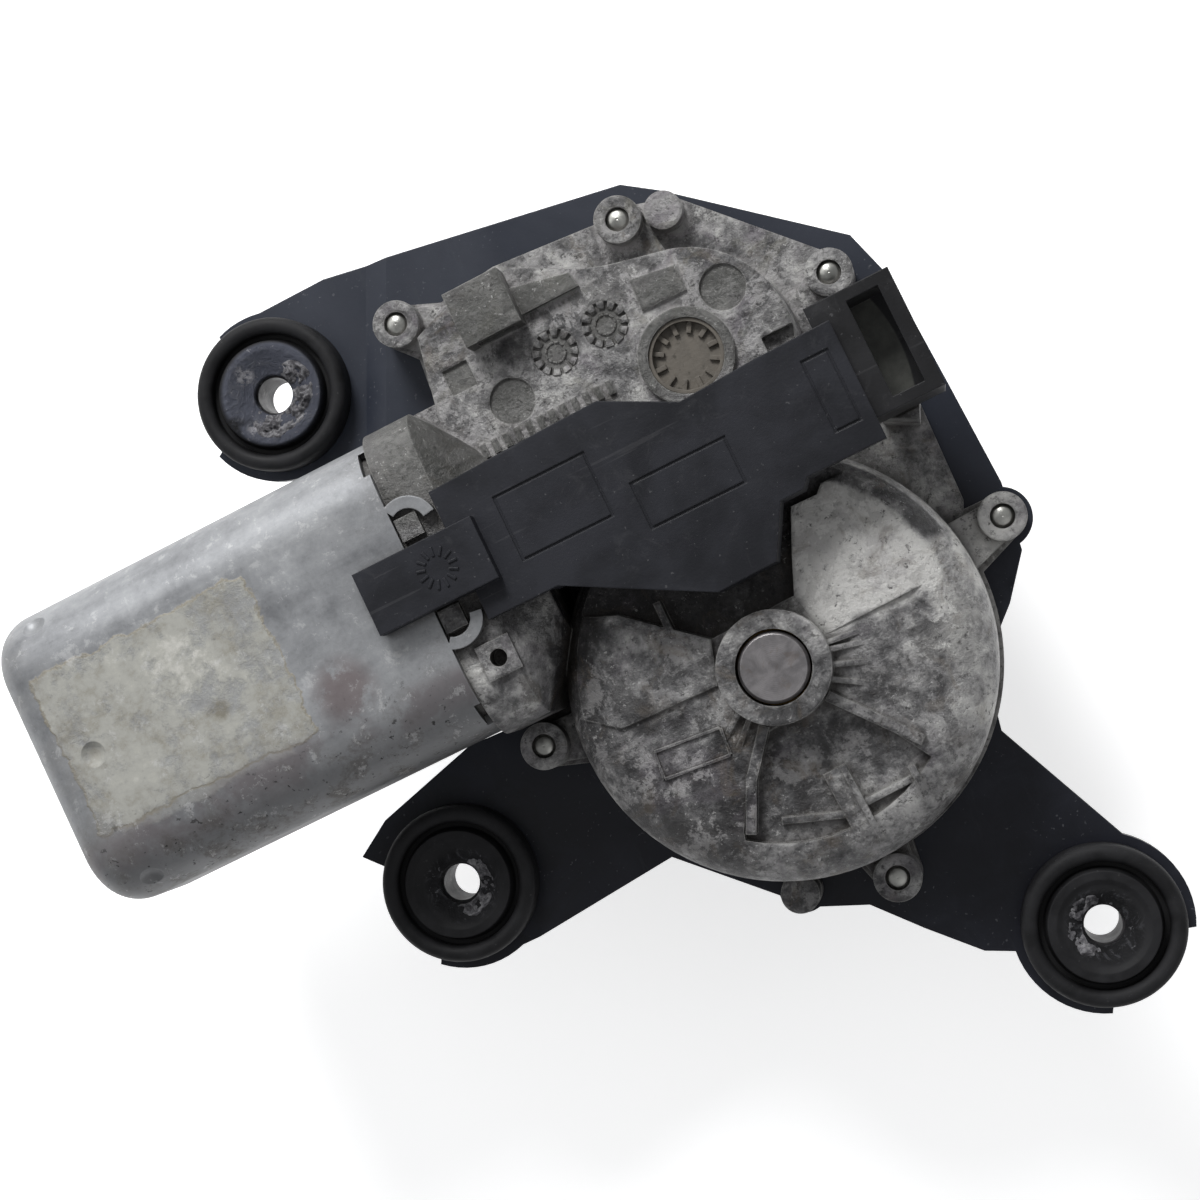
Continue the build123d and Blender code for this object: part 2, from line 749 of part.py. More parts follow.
def grommet(name):
    """Rubber grommet that grips the sheet of an eye, with a torus lip and a dished inner disc."""
    centre, _, level = eyes[name]
    bore = sleeve_radius + seat
    neck = eye_neck_radius - 0.1
    with BuildPart() as body:
        with BuildSketch(Plane.XZ):
            with BuildLine():
                Polyline(
                    (bore, grommet_low),
                    (12.2, grommet_low),
                    (13.0, grommet_low + 0.8),
                    (13.0, -seat),
                    (neck, -seat),
                    (neck, sheet + seat),
                    (grommet_radius, sheet + seat),
                    (grommet_radius, lip_top - 1.5),
                )
                ThreePointArc(
                    (grommet_radius, lip_top - 1.5),
                    (grommet_radius - 1.5, lip_top),
                    (grommet_radius - 3.0, lip_top - 1.5),
                )
                Polyline(
                    (grommet_radius - 3.0, lip_top - 1.5),
                    (grommet_radius - 3.0, sheet + 2.6),
                    (grommet_radius - 3.9, sheet + 2.6),
                    (grommet_radius - 4.5, disc_top),
                    (8.1, disc_top),
                    (mouth_radius + 0.8, sheet + 3.0),
                    (mouth_radius, sheet + 2.6),
                    (mouth_radius, sleeve_top + seat),
                    (bore, sleeve_top + seat),
                    (bore, grommet_low),
                )
            make_face()
        revolve(axis=Axis.Z)
    return Pos(centre[0], centre[1], level) * body.part


def sleeve(name):
    """Steel compression sleeve with the flange its washer bears on."""
    centre, _, level = eyes[name]
    with BuildPart() as body:
        with BuildSketch(Plane.XY.offset(sleeve_low)):
            with Locations(centre):
                Circle(9.0)
        rise(grommet_low - sleeve_low)
        with BuildSketch(Plane.XY.offset(sleeve_low)):
            with Locations(centre):
                Circle(sleeve_radius)
        rise(sleeve_top - sleeve_low)
        with BuildSketch(Plane.XY.offset(sleeve_low)):
            with Locations(centre):
                Circle(sleeve_bore)
        rise(sleeve_top - sleeve_low, Mode.SUBTRACT)
    return Pos(0, 0, level) * body.part


grommet_bodies = {name: grommet(name) for name in eyes}
sleeve_bodies = {name: sleeve(name) for name in eyes}
for name in eyes:
    with BuildPart() as eye_grommet:
        add(grommet_bodies[name])
    save(eye_grommet, f"{name}_grommet")
    with BuildPart() as eye_sleeve:
        add(sleeve_bodies[name])
    save(eye_sleeve, f"{name}_sleeve")

# ---------------------------------------------------------------- motor can, magnets and armature bushes
hook_inner = 3.1
hook_outer = 5.2
dimple_radius = 3.2
can_marks = [
    # x, offset from the armature axis, level: places of the pressed dimples
    (-110.7, -0.9, can_top),
    (-112.1, 23.6, can_top - 2.9),
    (-111.6, -23.8, can_top - 2.9),
]


def hook(centre, first, last, level):
    """Round hook of the can's sheet about a lug of the bell."""
    middle = (first + last) / 2
    with BuildPart() as body:
        with BuildSketch(Plane.XY.offset(level)):
            with Locations(centre):
                Circle(hook_outer)
                Circle(hook_inner, mode=Mode.SUBTRACT)
            with BuildLine():
                Polyline(
                    centre,
                    polar(20.0, first, centre),
                    polar(30.0, middle, centre),
                    polar(20.0, last, centre),
                    close=True,
                )
            make_face(mode=Mode.INTERSECT)
        rise(can_wall)
    return body.part


hooks = []
for hook_level in (can_top - can_wall, axis_level - can_half_height):
    hooks.append(hook(hook_centres[0], 8, 122, hook_level))
    hooks.append(hook(hook_centres[1], -122, -8, hook_level))

with BuildPart() as can_space:
    with BuildSketch(along_axis(can_mouth_x)):
        RectangleRounded(2 * inner_half_width, 2 * inner_half_height, inner_corner)
    extrude(amount=can_wall - can_length)
    fillet(can_space.faces().sort_by(Axis.X)[0].edges(), can_end_round - can_wall)

with BuildPart() as motor_can:
    with BuildSketch(along_axis(can_mouth_x)):
        RectangleRounded(2 * can_half_width, 2 * can_half_height, can_corner)
    extrude(amount=-can_length)
    fillet(motor_can.faces().sort_by(Axis.X)[0].edges(), can_end_round)
    add(can_space.part, mode=Mode.SUBTRACT)
    for x, sideways, level in can_marks:
        lean = math.atan2(level - axis_level, sideways)
        lift = dimple_radius - 0.9
        with Locations((x, axis_offset + sideways + lift * math.cos(lean), level + lift * math.sin(lean))):
            Sphere(dimple_radius, mode=Mode.SUBTRACT)
    for sideways in (22.6, -24.3):
        with Locations((can_mouth_x, axis_offset + sideways, can_top)):
            Box(2.4, 4.4, 12.0, mode=Mode.SUBTRACT)
    for body in hooks:
        add(body)
save(motor_can, "motor_can")

magnet_inner = 16.0
magnet_outer = inner_half_width - 0.1
magnet_half_angle = 36
magnet_start_x = stack_start_x - 1.0
magnet_length = stack_length + 4.0


def sector(radius, middle, half):
    """Four-cornered field that covers an angle about the axis out past a radius."""
    return [(0, 0), polar(2 * radius, middle - half), polar(3 * radius, middle), polar(2 * radius, middle + half)]


with BuildPart() as field_magnets:
    for middle in (0, 180):
        with BuildSketch(along_axis(magnet_start_x)):
            Circle(magnet_outer)
            Circle(magnet_inner, mode=Mode.SUBTRACT)
            with BuildLine():
                Polyline(*sector(magnet_outer, middle, magnet_half_angle), close=True)
            make_face(mode=Mode.INTERSECT)
        extrude(amount=magnet_length)
save(field_magnets, "field_magnets")

can_floor_x = can_end_x + can_wall
rear_bush_length = 7.0
rear_bush_radius = 6.0
retainer_flange_radius = 10.8
retainer_sheet = 1.0
rear_plane = along_axis(can_floor_x)
armature_bore = armature_shaft_radius + running
end_bush_length = shaft_end_x - end_seat_x
save_collars("rear_bush", (rear_plane, armature_bore, rear_bush_radius, rear_bush_length))
save_collars(
    "bush_retainer",
    (rear_plane, rear_bush_radius + seat, retainer_flange_radius, retainer_sheet),
    (rear_plane, rear_bush_radius + seat, rear_bush_radius + seat + retainer_sheet, rear_bush_length - 1.0),
)
save_collars("front_bush", (along_axis(commutator_wall_x), armature_bore, front_bush_radius, 3.0))
save_collars("end_bush", (along_axis(end_seat_x), armature_bore, end_bush_radius, end_bush_length))

with BuildPart() as thrust_pad:
    with BuildSketch(along_axis(shaft_end_x + seat)):
        Circle(end_bush_radius - 0.5)
    extrude(amount=end_seat_depth - shaft_end_x + end_seat_x - seat)
save(thrust_pad, "thrust_pad")

# ---------------------------------------------------------------- brush gear
brush_inner = 8.8
brush_outer = 17.0
brush_x = (-59.0, -54.0)
brush_half_height = 3.0
holder_plate = 3.0
holder_x = can_mouth_x - spigot_depth - holder_plate
box_end = 22.5
box_wall = 0.9
holder_front = holder_x + holder_plate


def brush_box(side, outset, first, last):
    """Box across a brush, grown by an amount on its four long sides."""
    with BuildPart() as body:
        with Locations(((brush_x[0] + brush_x[1]) / 2, axis_offset + side * (first + last) / 2, axis_level)):
            Box(brush_x[1] - brush_x[0] + 2 * outset, last - first, 2 * brush_half_height + 2 * outset)
    return body.part


box_shells = [brush_box(side, box_wall + seat, 9.6, box_end) for side in (1, -1)]
box_spaces = [brush_box(side, seat, 9.0, box_end - 1.0) for side in (1, -1)]
with BuildPart() as brush_holder:
    with BuildSketch(along_axis(holder_x)):
        RectangleRounded(2 * inner_half_width - 0.4, 2 * inner_half_height - 0.4, inner_corner - 0.2)
        Circle(10.0, mode=Mode.SUBTRACT)
    extrude(amount=holder_plate)
    for body in box_shells:
        add(body)
    for side in (1, -1):
        with Locations((holder_x - 0.6, axis_offset + side * 15.0, axis_level)):
            Box(1.4, 10.0, 5.0)
    for body in box_spaces:
        add(body, mode=Mode.SUBTRACT)
save(brush_holder, "brush_holder")

brushes = [brush_box(side, 0.0, brush_inner, brush_outer) for side in (1, -1)]
with BuildPart() as carbon_brushes:
    for body in brushes:
        add(body)
save(carbon_brushes, "carbon_brushes")

fold_count = 4
spring_sheet = 0.45
spring_x = (brush_x[0] + 0.4, brush_x[1] - 0.4)


def spring_bends(side):
    """Bends of a strip folded to and fro between a brush and the end of its box."""
    near = brush_outer + seat + spring_sheet / 2
    far = box_end - 1.0 - seat - spring_sheet / 2
    pitch = (far - near) / fold_count
    return [(spring_x[fold % 2], axis_offset + side * (near + pitch * fold)) for fold in range(fold_count + 1)]


with BuildPart() as brush_springs:
    for side in (1, -1):
        bends = spring_bends(side)
        with BuildSketch(Plane.XY.offset(axis_level - 2.5)):
            with Locations(*bends):
                Circle(spring_sheet / 2)
            for start, end in zip(bends, bends[1:]):
                with BuildLine():
                    Polyline(*rib_points(start, end, spring_sheet), close=True)
                make_face()
        rise(5.0)
save(brush_springs, "brush_springs")

# ---------------------------------------------------------------- connector, leads and cover
tray_low = pad_level
tray_top = pad_level + 1.5
socket_low = connector_level + 2.0
socket_high = 32.5
socket_y = (31.0, 48.3)
shell_top = 34.5
frame_end_x = 45.2
rail_start_x = 36.8
wall_x = 22.0
tray_body = block((-20.5, wall_x + 0.5), (28.0, 43.3), tray_low, tray_top)
back_body = block((wall_x, 30.0), (29.0, 46.4), connector_level, shell_top)
shell_body = block((30.0, rail_start_x), (29.0, 50.3), connector_level, shell_top)
rail_bodies = [
    block((rail_start_x - 0.5, frame_end_x), (29.0, 31.0), connector_level, shell_top),
    block((rail_start_x - 0.5, frame_end_x), (48.3, 50.3), connector_level, shell_top),
    block((rail_start_x - 0.5, frame_end_x), (29.0, 50.3), connector_level, socket_low),
    block((frame_end_x - 2.7, frame_end_x), (29.0, 50.3), socket_high, shell_top),
]
socket_space = block((wall_x + 2.5, 30.5), (31.0, 44.4), socket_low, socket_high)
socket_mouth = block((30.0, frame_end_x + 1.0), socket_y, socket_low, socket_high)
window_space = block((rail_start_x, frame_end_x - 2.7), (31.0, 47.8), socket_high - 1.0, shell_top + 1.0)
pin_places = [32.8, 35.8, 38.8, 41.8]
pin_half_width = 1.0
pin_thickness = 0.8
pin_level = 27.0
pin_spans = [(y - pin_half_width, y + pin_half_width) for y in pin_places]
pin_x = (tube_end_x + 0.4, rail_start_x - 1.0)
pin_bodies = [block(pin_x, span, pin_level, pin_level + pin_thickness) for span in pin_spans]
pin_holes = []
for low, high in pin_spans:
    span = (low - seat, high + seat)
    pin_holes.append(block((wall_x - 1.0, wall_x + 3.5), span, pin_level - seat, pin_level + pin_thickness + seat))

with BuildPart() as connector_carrier:
    add(tray_body)
    add(back_body)
    add(shell_body)
    for body in rail_bodies:
        add(body)
    add(socket_space, mode=Mode.SUBTRACT)
    add(socket_mouth, mode=Mode.SUBTRACT)
    add(window_space, mode=Mode.SUBTRACT)
    for body in pin_holes:
        add(body, mode=Mode.SUBTRACT)
save(connector_carrier, "connector_carrier")

with BuildPart() as connector_pins:
    for body in pin_bodies:
        add(body)
save(connector_pins, "connector_pins")

lead_sheet = 0.8
lead_low = tray_top + 0.2
lead_turn_x = commutator_wall_x - 1.6
lead_inner_low = 27.0
lead_places = [36.0, 41.0]
lead_bodies = []
for y in lead_places:
    span = (y - 1.5, y + 1.5)
    lead_bodies.append(block((lead_turn_x, wall_x - 0.5), span, lead_low, lead_low + lead_sheet))
    lead_bodies.append(block((lead_turn_x, lead_turn_x + lead_sheet), span, lead_inner_low, lead_low + lead_sheet))
    lead_bodies.append(block((holder_front + 0.2, lead_turn_x + lead_sheet), span, lead_inner_low, lead_inner_low + lead_sheet))
with BuildPart() as lead_frame:
    for body in lead_bodies:
        add(body)
save(lead_frame, "lead_frame")

cover_points = [
    (-38.5, 27.5),
    (-25.7, 27.5),
    (-2.4, 14.9),
    (8.4, 15.2),
    (13.2, 23.7),
    (17.4, 23.8),
    (18.8, 25.3),
    (33.0, 25.3),
    (33.0, 46.5),
    (19.0, 46.3),
    (5.6, 45.6),
    (-6.7, 51.9),
    (-17.2, 51.7),
    (-38.5, 51.0),
]
cover_low = cover_level - cover_wall
skirt_start_x = -26.8
tongue_x = (-55.6, -33.4)
tongue_y = (32.8, 44.0)
tongue_low = can_top + apart
cover_space = block((-40.0, 34.0), (27.9, 60.0), skirt_level - 1.0, cover_low)
cover_bodies = [
    block(tongue_x, tongue_y, tongue_low, tongue_low + tongue_thickness),
]
skirt_clearances = [
    block((-45.0, skirt_start_x), (10.0, 60.0), skirt_level - 1.0, cover_low),
    block((wall_x - apart, 36.0), (10.0, 60.0), skirt_level - 1.0, cover_low),
]
frame_lines = [
    # low corner and high corner of the sunk line frames on the cover
    ((-29.2, 33.6), (-12.1, 45.5)),
    ((-7.7, 28.8), (9.8, 37.4)),
    ((25.9, 29.6), (30.9, 42.6)),
]
with BuildPart() as terminal_cover:
    with BuildSketch(Plane.XY.offset(skirt_level)):
        with BuildLine():
            Polyline(*cover_points, close=True)
        make_face()
    rise(cover_level - skirt_level)
    with BuildSketch(Plane.XY.offset(skirt_level)):
        with BuildLine():
            Polyline(*cover_points, close=True)
        make_face()
        offset(amount=-1.8)
    rise(cover_low - skirt_level, Mode.SUBTRACT)
    for body in skirt_clearances:
        add(body, mode=Mode.SUBTRACT)
    for low, high in frame_lines:
        with BuildSketch(Plane.XY.offset(cover_level - 0.3)):
            with Locations(((low[0] + high[0]) / 2, (low[1] + high[1]) / 2)):
                Rectangle(high[0] - low[0], high[1] - low[1])
                Rectangle(high[0] - low[0] - 1.0, high[1] - low[1] - 1.0, mode=Mode.SUBTRACT)
        rise(1.0, Mode.SUBTRACT)
    for body in cover_bodies:
        add(body)
save(terminal_cover, "terminal_cover")

# ---------------------------------------------------------------- control board and vent
board_points = [(-30.0, 53.0), (23.5, 53.0), (22.5, 60.5), (16.0, 66.0), (2.6, 70.0), (-12.0, 77.0), (-24.0, 76.5)]
board_points += [(-30.0, 73.5)]
board_low = board_top - board_thickness
relay_x = (-22.0, -6.0)
relay_y = (56.0, 69.0)
with BuildPart() as control_board:
    with BuildSketch(Plane.XY.offset(board_low)):
        with BuildLine():
            Polyline(*board_points, close=True)
        make_face()
        with Locations(vent_centre):
            Circle(2.0, mode=Mode.SUBTRACT)
    rise(board_thickness)
save(control_board, "control_board")

relay_body = block(relay_x, relay_y, board_top, board_top + 11.5)
with BuildPart() as board_relay:
    add(relay_body)
    fillet(board_relay.edges().filter_by(Axis.Z), 1.0)
save(board_relay, "board_relay")

with BuildPart() as board_capacitor:
    with BuildSketch(Plane.XY.offset(board_top)):
        with Locations((1.0, 61.0)):
            Circle(4.5)
    rise(10.0)
    chamfer(board_capacitor.edges().group_by(Axis.Z)[-1], 0.6)
save(board_capacitor, "board_capacitor")

vent_low = deck_level - deck_wall + 0.6
vent_top = deck_level + 0.6
vent_ring = 0.7
finger_count = 12
finger_length = 1.7
finger_width = 0.8
with BuildPart() as breather:
    with BuildSketch(Plane.XY.offset(vent_low)):
        with Locations(vent_centre):
            Circle(vent_radius - seat)
            Circle(vent_radius - vent_ring, mode=Mode.SUBTRACT)
    rise(vent_top - vent_low)
    with BuildSketch(Plane.XY.offset(vent_low)):
        with Locations(vent_centre):
            Circle(vent_radius - vent_ring / 2)
    rise(1.6)
    with BuildSketch(Plane.XY.offset(vent_low)):
        with Locations(vent_centre):
            with PolarLocations(vent_radius - vent_ring - finger_length / 2, finger_count):
                Rectangle(finger_length + 0.4, finger_width)
    rise(vent_top - vent_low - 0.8)
save(breather, "breather")

# ---------------------------------------------------------------- output bushes, spindle tube and seal
output_bore = shaft_radius + running
ceiling_plane = Plane.XY.offset(cavity_ceiling)
save_collars("upper_bush", (ceiling_plane, output_bore, bush_radius, bush_top - cavity_ceiling))

tube_flange_radius = 15.0
tube_flange_top = sheet + 2.0
seal_low = -spindle_tube_length
seal_top = seal_low + 2.4
lower_bush_low = seal_top + 0.3
with BuildPart() as spindle_tube:
    with BuildSketch(Plane.XY.offset(-spindle_tube_length)):
        Circle(spindle_tube_radius)
    rise(spindle_tube_length)
    with BuildSketch():
        Circle(spindle_collar_radius)
    rise(sheet)
    with BuildSketch(Plane.XY.offset(sheet)):
        Circle(tube_flange_radius)
    rise(tube_flange_top - sheet)
    with BuildSketch(Plane.XY.offset(-spindle_tube_length)):
        Circle(spindle_bore)
    rise(spindle_tube_length + tube_flange_top, Mode.SUBTRACT)
save(spindle_tube, "spindle_tube")

save_collars("lower_bush", (Plane.XY.offset(lower_bush_low), output_bore, spindle_bore - seat, 14.0))

with BuildPart() as shaft_seal:
    with BuildSketch(Plane.XZ):
        with BuildLine():
            Polyline(
                (shaft_radius + 0.1, seal_low + 1.4),
                (shaft_radius + 0.8, seal_low),
                (spindle_bore - seat, seal_low),
                (spindle_bore - seat, seal_top),
                (shaft_radius + 1.1, seal_top),
                (shaft_radius + 1.1, seal_low + 1.9),
                (shaft_radius + 0.1, seal_low + 1.9),
                close=True,
            )
        make_face()
    revolve(axis=Axis.Z)
save(shaft_seal, "shaft_seal")

# ---------------------------------------------------------------- output shaft with the worm wheel
groove_low = seal_low - 1.2
groove_high = seal_low - 0.3
stud_radius = 4.0
cone_top = -26.0
stud_top = -34.0
stud_end = -46.0
hub_radius = 9.0
hub_low = tube_flange_top + 1.2
with BuildPart() as output_shaft:
    with BuildSketch(Plane.XZ):
        with BuildLine():
            Polyline(
                (0, stud_end),
                (stud_radius - 0.7, stud_end),
                (stud_radius, stud_end + 0.7),
                (stud_radius, stud_top),
                (stud_radius + 0.4, stud_top),
                (shaft_radius - 0.6, cone_top),
                (shaft_radius, cone_top),
                (shaft_radius, groove_low),
                (shaft_radius - 0.6, groove_low),
                (shaft_radius - 0.6, groove_high),
                (shaft_radius, groove_high),
                (shaft_radius, shaft_top - shaft_edge),
                (shaft_radius - shaft_edge, shaft_top),
                (0, shaft_top),
                close=True,
            )
        make_face()
    revolve(axis=Axis.Z)
save(output_shaft, "output_shaft")

slot_half = (math.pi / 2 * gear_module + backlash / 2) / 2
slot_slope = math.tan(math.radians(pressure_angle))
slot_depth = 1.25 * gear_module
slot_rise = 1.4 * gear_module
lean = math.radians(lead_angle)
slot_plane = Plane(
    origin=(0, wheel_pitch_radius, axis_level),
    x_dir=(math.cos(lean), 0, math.sin(lean)),
    z_dir=(-math.sin(lean), 0, math.cos(lean)),
)
with BuildPart() as tooth_gap:
    with BuildSketch(slot_plane):
        with BuildLine():
            Polyline(
                (-slot_half + slot_slope * slot_depth, -slot_depth),
                (slot_half - slot_slope * slot_depth, -slot_depth),
                (slot_half + slot_slope * slot_rise, slot_rise),
                (-slot_half - slot_slope * slot_rise, slot_rise),
                close=True,
            )
        make_face()
    extrude(amount=wheel_face, both=True)

rim_inner = wheel_pitch_radius - 5.5
web_half = 1.5
web_level = (wheel_bottom + wheel_top) / 2
rib_count = 6
with BuildPart() as worm_wheel:
    with BuildSketch(Plane.XY.offset(wheel_bottom)):
        Circle(wheel_tip_radius)
    rise(wheel_face)
    for low, high in ((wheel_bottom, web_level - web_half), (web_level + web_half, wheel_top)):
        with BuildSketch(Plane.XY.offset(low)):
            Circle(rim_inner)
            Circle(hub_radius + 3.0, mode=Mode.SUBTRACT)
            with PolarLocations((rim_inner + hub_radius) / 2, rib_count):
                Rectangle(rim_inner, 2.0, mode=Mode.SUBTRACT)
        rise(high - low, Mode.SUBTRACT)
    with BuildSketch(Plane.XY.offset(wheel_bottom)):
        Circle(hub_radius + press)
    rise(wheel_face, Mode.SUBTRACT)
    for tooth in range(wheel_teeth):
        add(Rot(0, 0, 360 * tooth / wheel_teeth) * tooth_gap.part, mode=Mode.SUBTRACT)
save(worm_wheel, "worm_wheel")

save_collars(
    "wheel_hub",
    (Plane.XY.offset(hub_low), shaft_radius + press, hub_radius, wheel_top - hub_low),
    (Plane.XY.offset(wheel_bottom - 2.0), shaft_radius + press, hub_radius + 2.0, 2.0),
)

washer_bore = shaft_radius + 0.2
washer_radius = 11.0
washer_play = 0.1
lower_washer = hub_low - tube_flange_top - washer_play - seat
upper_washer = cavity_ceiling - wheel_top - washer_play - seat
save_collars(
    "thrust_washers",
    (Plane.XY.offset(tube_flange_top + washer_play), washer_bore, washer_radius, lower_washer),
    (Plane.XY.offset(wheel_top + seat), washer_bore, washer_radius, upper_washer),
)

with BuildPart() as retaining_ring:
    with BuildSketch(Plane.XY.offset(groove_low + 0.05)):
        Circle(8.5)
        Circle(shaft_radius - 0.6 + press, mode=Mode.SUBTRACT)
        with Locations((7.0, 0)):
            Rectangle(6.0, 3.0, mode=Mode.SUBTRACT)
    rise(groove_high - groove_low - 0.1)
save(retaining_ring, "retaining_ring")

# ---------------------------------------------------------------- armature
shaft_start_x = can_floor_x + 0.4
first_turn = math.radians(180.0 - 360.0 * worm_half_length / lead)
thread_half = (math.pi / 2 * gear_module - backlash / 2) / 2
thread_rise = gear_module
thread_drop = 1.2 * gear_module + 0.15
worm_plane = Plane(
    origin=(-worm_half_length, axis_offset, axis_level),
    x_dir=(0, math.cos(first_turn), math.sin(first_turn)),
    z_dir=(1, 0, 0),
)
with BuildPart() as worm_thread:
    with BuildLine():
        Helix(pitch=lead, height=2 * worm_half_length, radius=worm_pitch_radius)
    with BuildSketch(Plane(origin=(worm_pitch_radius, 0, 0), x_dir=(0, 0, 1), z_dir=(0, 1, 0))):
        with BuildLine():
            Polyline(
                (-thread_half - slot_slope * thread_drop, -thread_drop),
                (thread_half + slot_slope * thread_drop, -thread_drop),
                (thread_half - slot_slope * thread_rise, thread_rise),
                (-thread_half + slot_slope * thread_rise, thread_rise),
                close=True,
            )
        make_face()
    sweep(is_frenet=True)
placed_thread = worm_plane.location * worm_thread.part

with BuildPart() as armature_shaft:
    with BuildSketch(along_axis(shaft_start_x)):
        Circle(armature_shaft_radius)
    extrude(amount=shaft_end_x - shaft_start_x)
    with BuildSketch(along_axis(-worm_half_length - 2.0)):
        Circle(worm_root_radius)
    extrude(amount=2 * worm_half_length + 4.0)
    add(placed_thread)
save(armature_shaft, "armature_shaft")

slot_number = 10
slot_turn = 360 / slot_number
with BuildPart() as lamination_stack:
    with BuildSketch(along_axis(stack_start_x)):
        Circle(stack_radius)
        Circle(armature_shaft_radius + press, mode=Mode.SUBTRACT)
        for step in range(slot_number):
            angle = slot_turn * step
            with BuildLine():
                Polyline(
                    polar(6.8, angle - 8.5),
                    polar(13.7, angle - 13.0),
                    polar(13.7, angle + 13.0),
                    polar(6.8, angle + 8.5),
                    close=True,
                )
            make_face(mode=Mode.SUBTRACT)
            with Locations(polar(14.4, angle)):
                Rectangle(4.0, 1.8, rotation=angle, mode=Mode.SUBTRACT)
    extrude(amount=stack_length)
save(lamination_stack, "lamination_stack")

end_turn_length = 7.2
with BuildPart() as windings:
    for start in (stack_start_x - apart - end_turn_length, stack_start_x + stack_length + apart):
        with BuildSketch(along_axis(start)):
            Circle(14.4)
            Circle(5.0, mode=Mode.SUBTRACT)
        extrude(amount=end_turn_length)
    chamfer(windings.edges().filter_by(GeomType.CIRCLE), 1.6)
    with BuildSketch(along_axis(stack_start_x - 2.0)):
        for step in range(slot_number):
            angle = slot_turn * step
            with BuildLine():
                Polyline(
                    polar(7.3, angle - 6.0),
                    polar(13.2, angle - 11.2),
                    polar(13.2, angle + 11.2),
                    polar(7.3, angle + 6.0),
                    close=True,
                )
            make_face()
    extrude(amount=stack_length + 4.0)
save(windings, "windings")

commutator_x = -61.0
with BuildPart() as commutator:
    with BuildSketch(along_axis(commutator_x)):
        Circle(brush_inner - 0.3)
        Circle(armature_shaft_radius + press, mode=Mode.SUBTRACT)
        with PolarLocations(brush_inner - 0.3, slot_number):
            Rectangle(2.0, 0.6, mode=Mode.SUBTRACT)
    extrude(amount=10.0)
save(commutator, "commutator")

save_collars("sensor_ring", (along_axis(-45.5), armature_shaft_radius + press, 7.0, 3.0))
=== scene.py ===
"""Dresses the wiper motor: materials, fine mesh details, camera, light and floor.

Blender's units are metres. Sizes and places written here are millimetres in the part's own frame, unless a
name says otherwise, and are turned into metres by MM.
"""
import json
import math

import bmesh
import bpy
from mathutils import Matrix, Vector, noise
from mathutils.bvhtree import BVHTree


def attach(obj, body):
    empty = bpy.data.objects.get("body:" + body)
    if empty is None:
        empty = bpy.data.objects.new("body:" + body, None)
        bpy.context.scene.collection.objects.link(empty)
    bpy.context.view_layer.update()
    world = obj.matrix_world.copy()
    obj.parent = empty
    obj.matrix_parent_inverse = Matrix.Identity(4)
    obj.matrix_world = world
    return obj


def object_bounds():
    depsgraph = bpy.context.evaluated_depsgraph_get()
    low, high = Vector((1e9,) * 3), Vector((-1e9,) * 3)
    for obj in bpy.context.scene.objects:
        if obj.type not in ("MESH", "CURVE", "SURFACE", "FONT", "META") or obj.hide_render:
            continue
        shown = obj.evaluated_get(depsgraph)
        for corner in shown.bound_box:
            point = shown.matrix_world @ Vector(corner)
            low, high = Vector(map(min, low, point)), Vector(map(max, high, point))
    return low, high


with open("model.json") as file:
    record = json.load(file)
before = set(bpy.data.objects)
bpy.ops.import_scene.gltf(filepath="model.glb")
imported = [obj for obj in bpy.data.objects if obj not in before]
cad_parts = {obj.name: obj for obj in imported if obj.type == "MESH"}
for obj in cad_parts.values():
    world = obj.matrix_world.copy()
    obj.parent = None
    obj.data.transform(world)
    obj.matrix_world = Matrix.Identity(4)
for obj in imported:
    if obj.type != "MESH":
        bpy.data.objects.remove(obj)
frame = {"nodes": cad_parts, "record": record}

cad_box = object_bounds()
MM = 0.001
nodes = frame["nodes"]
# plan places of the six housing screws
screw_places = [(8.1, 82.4), (36.8, 57.2), (-35.3, 84.1), (44.8, 6.4), (1.8, -41.5), (-44.0, 5.2)]


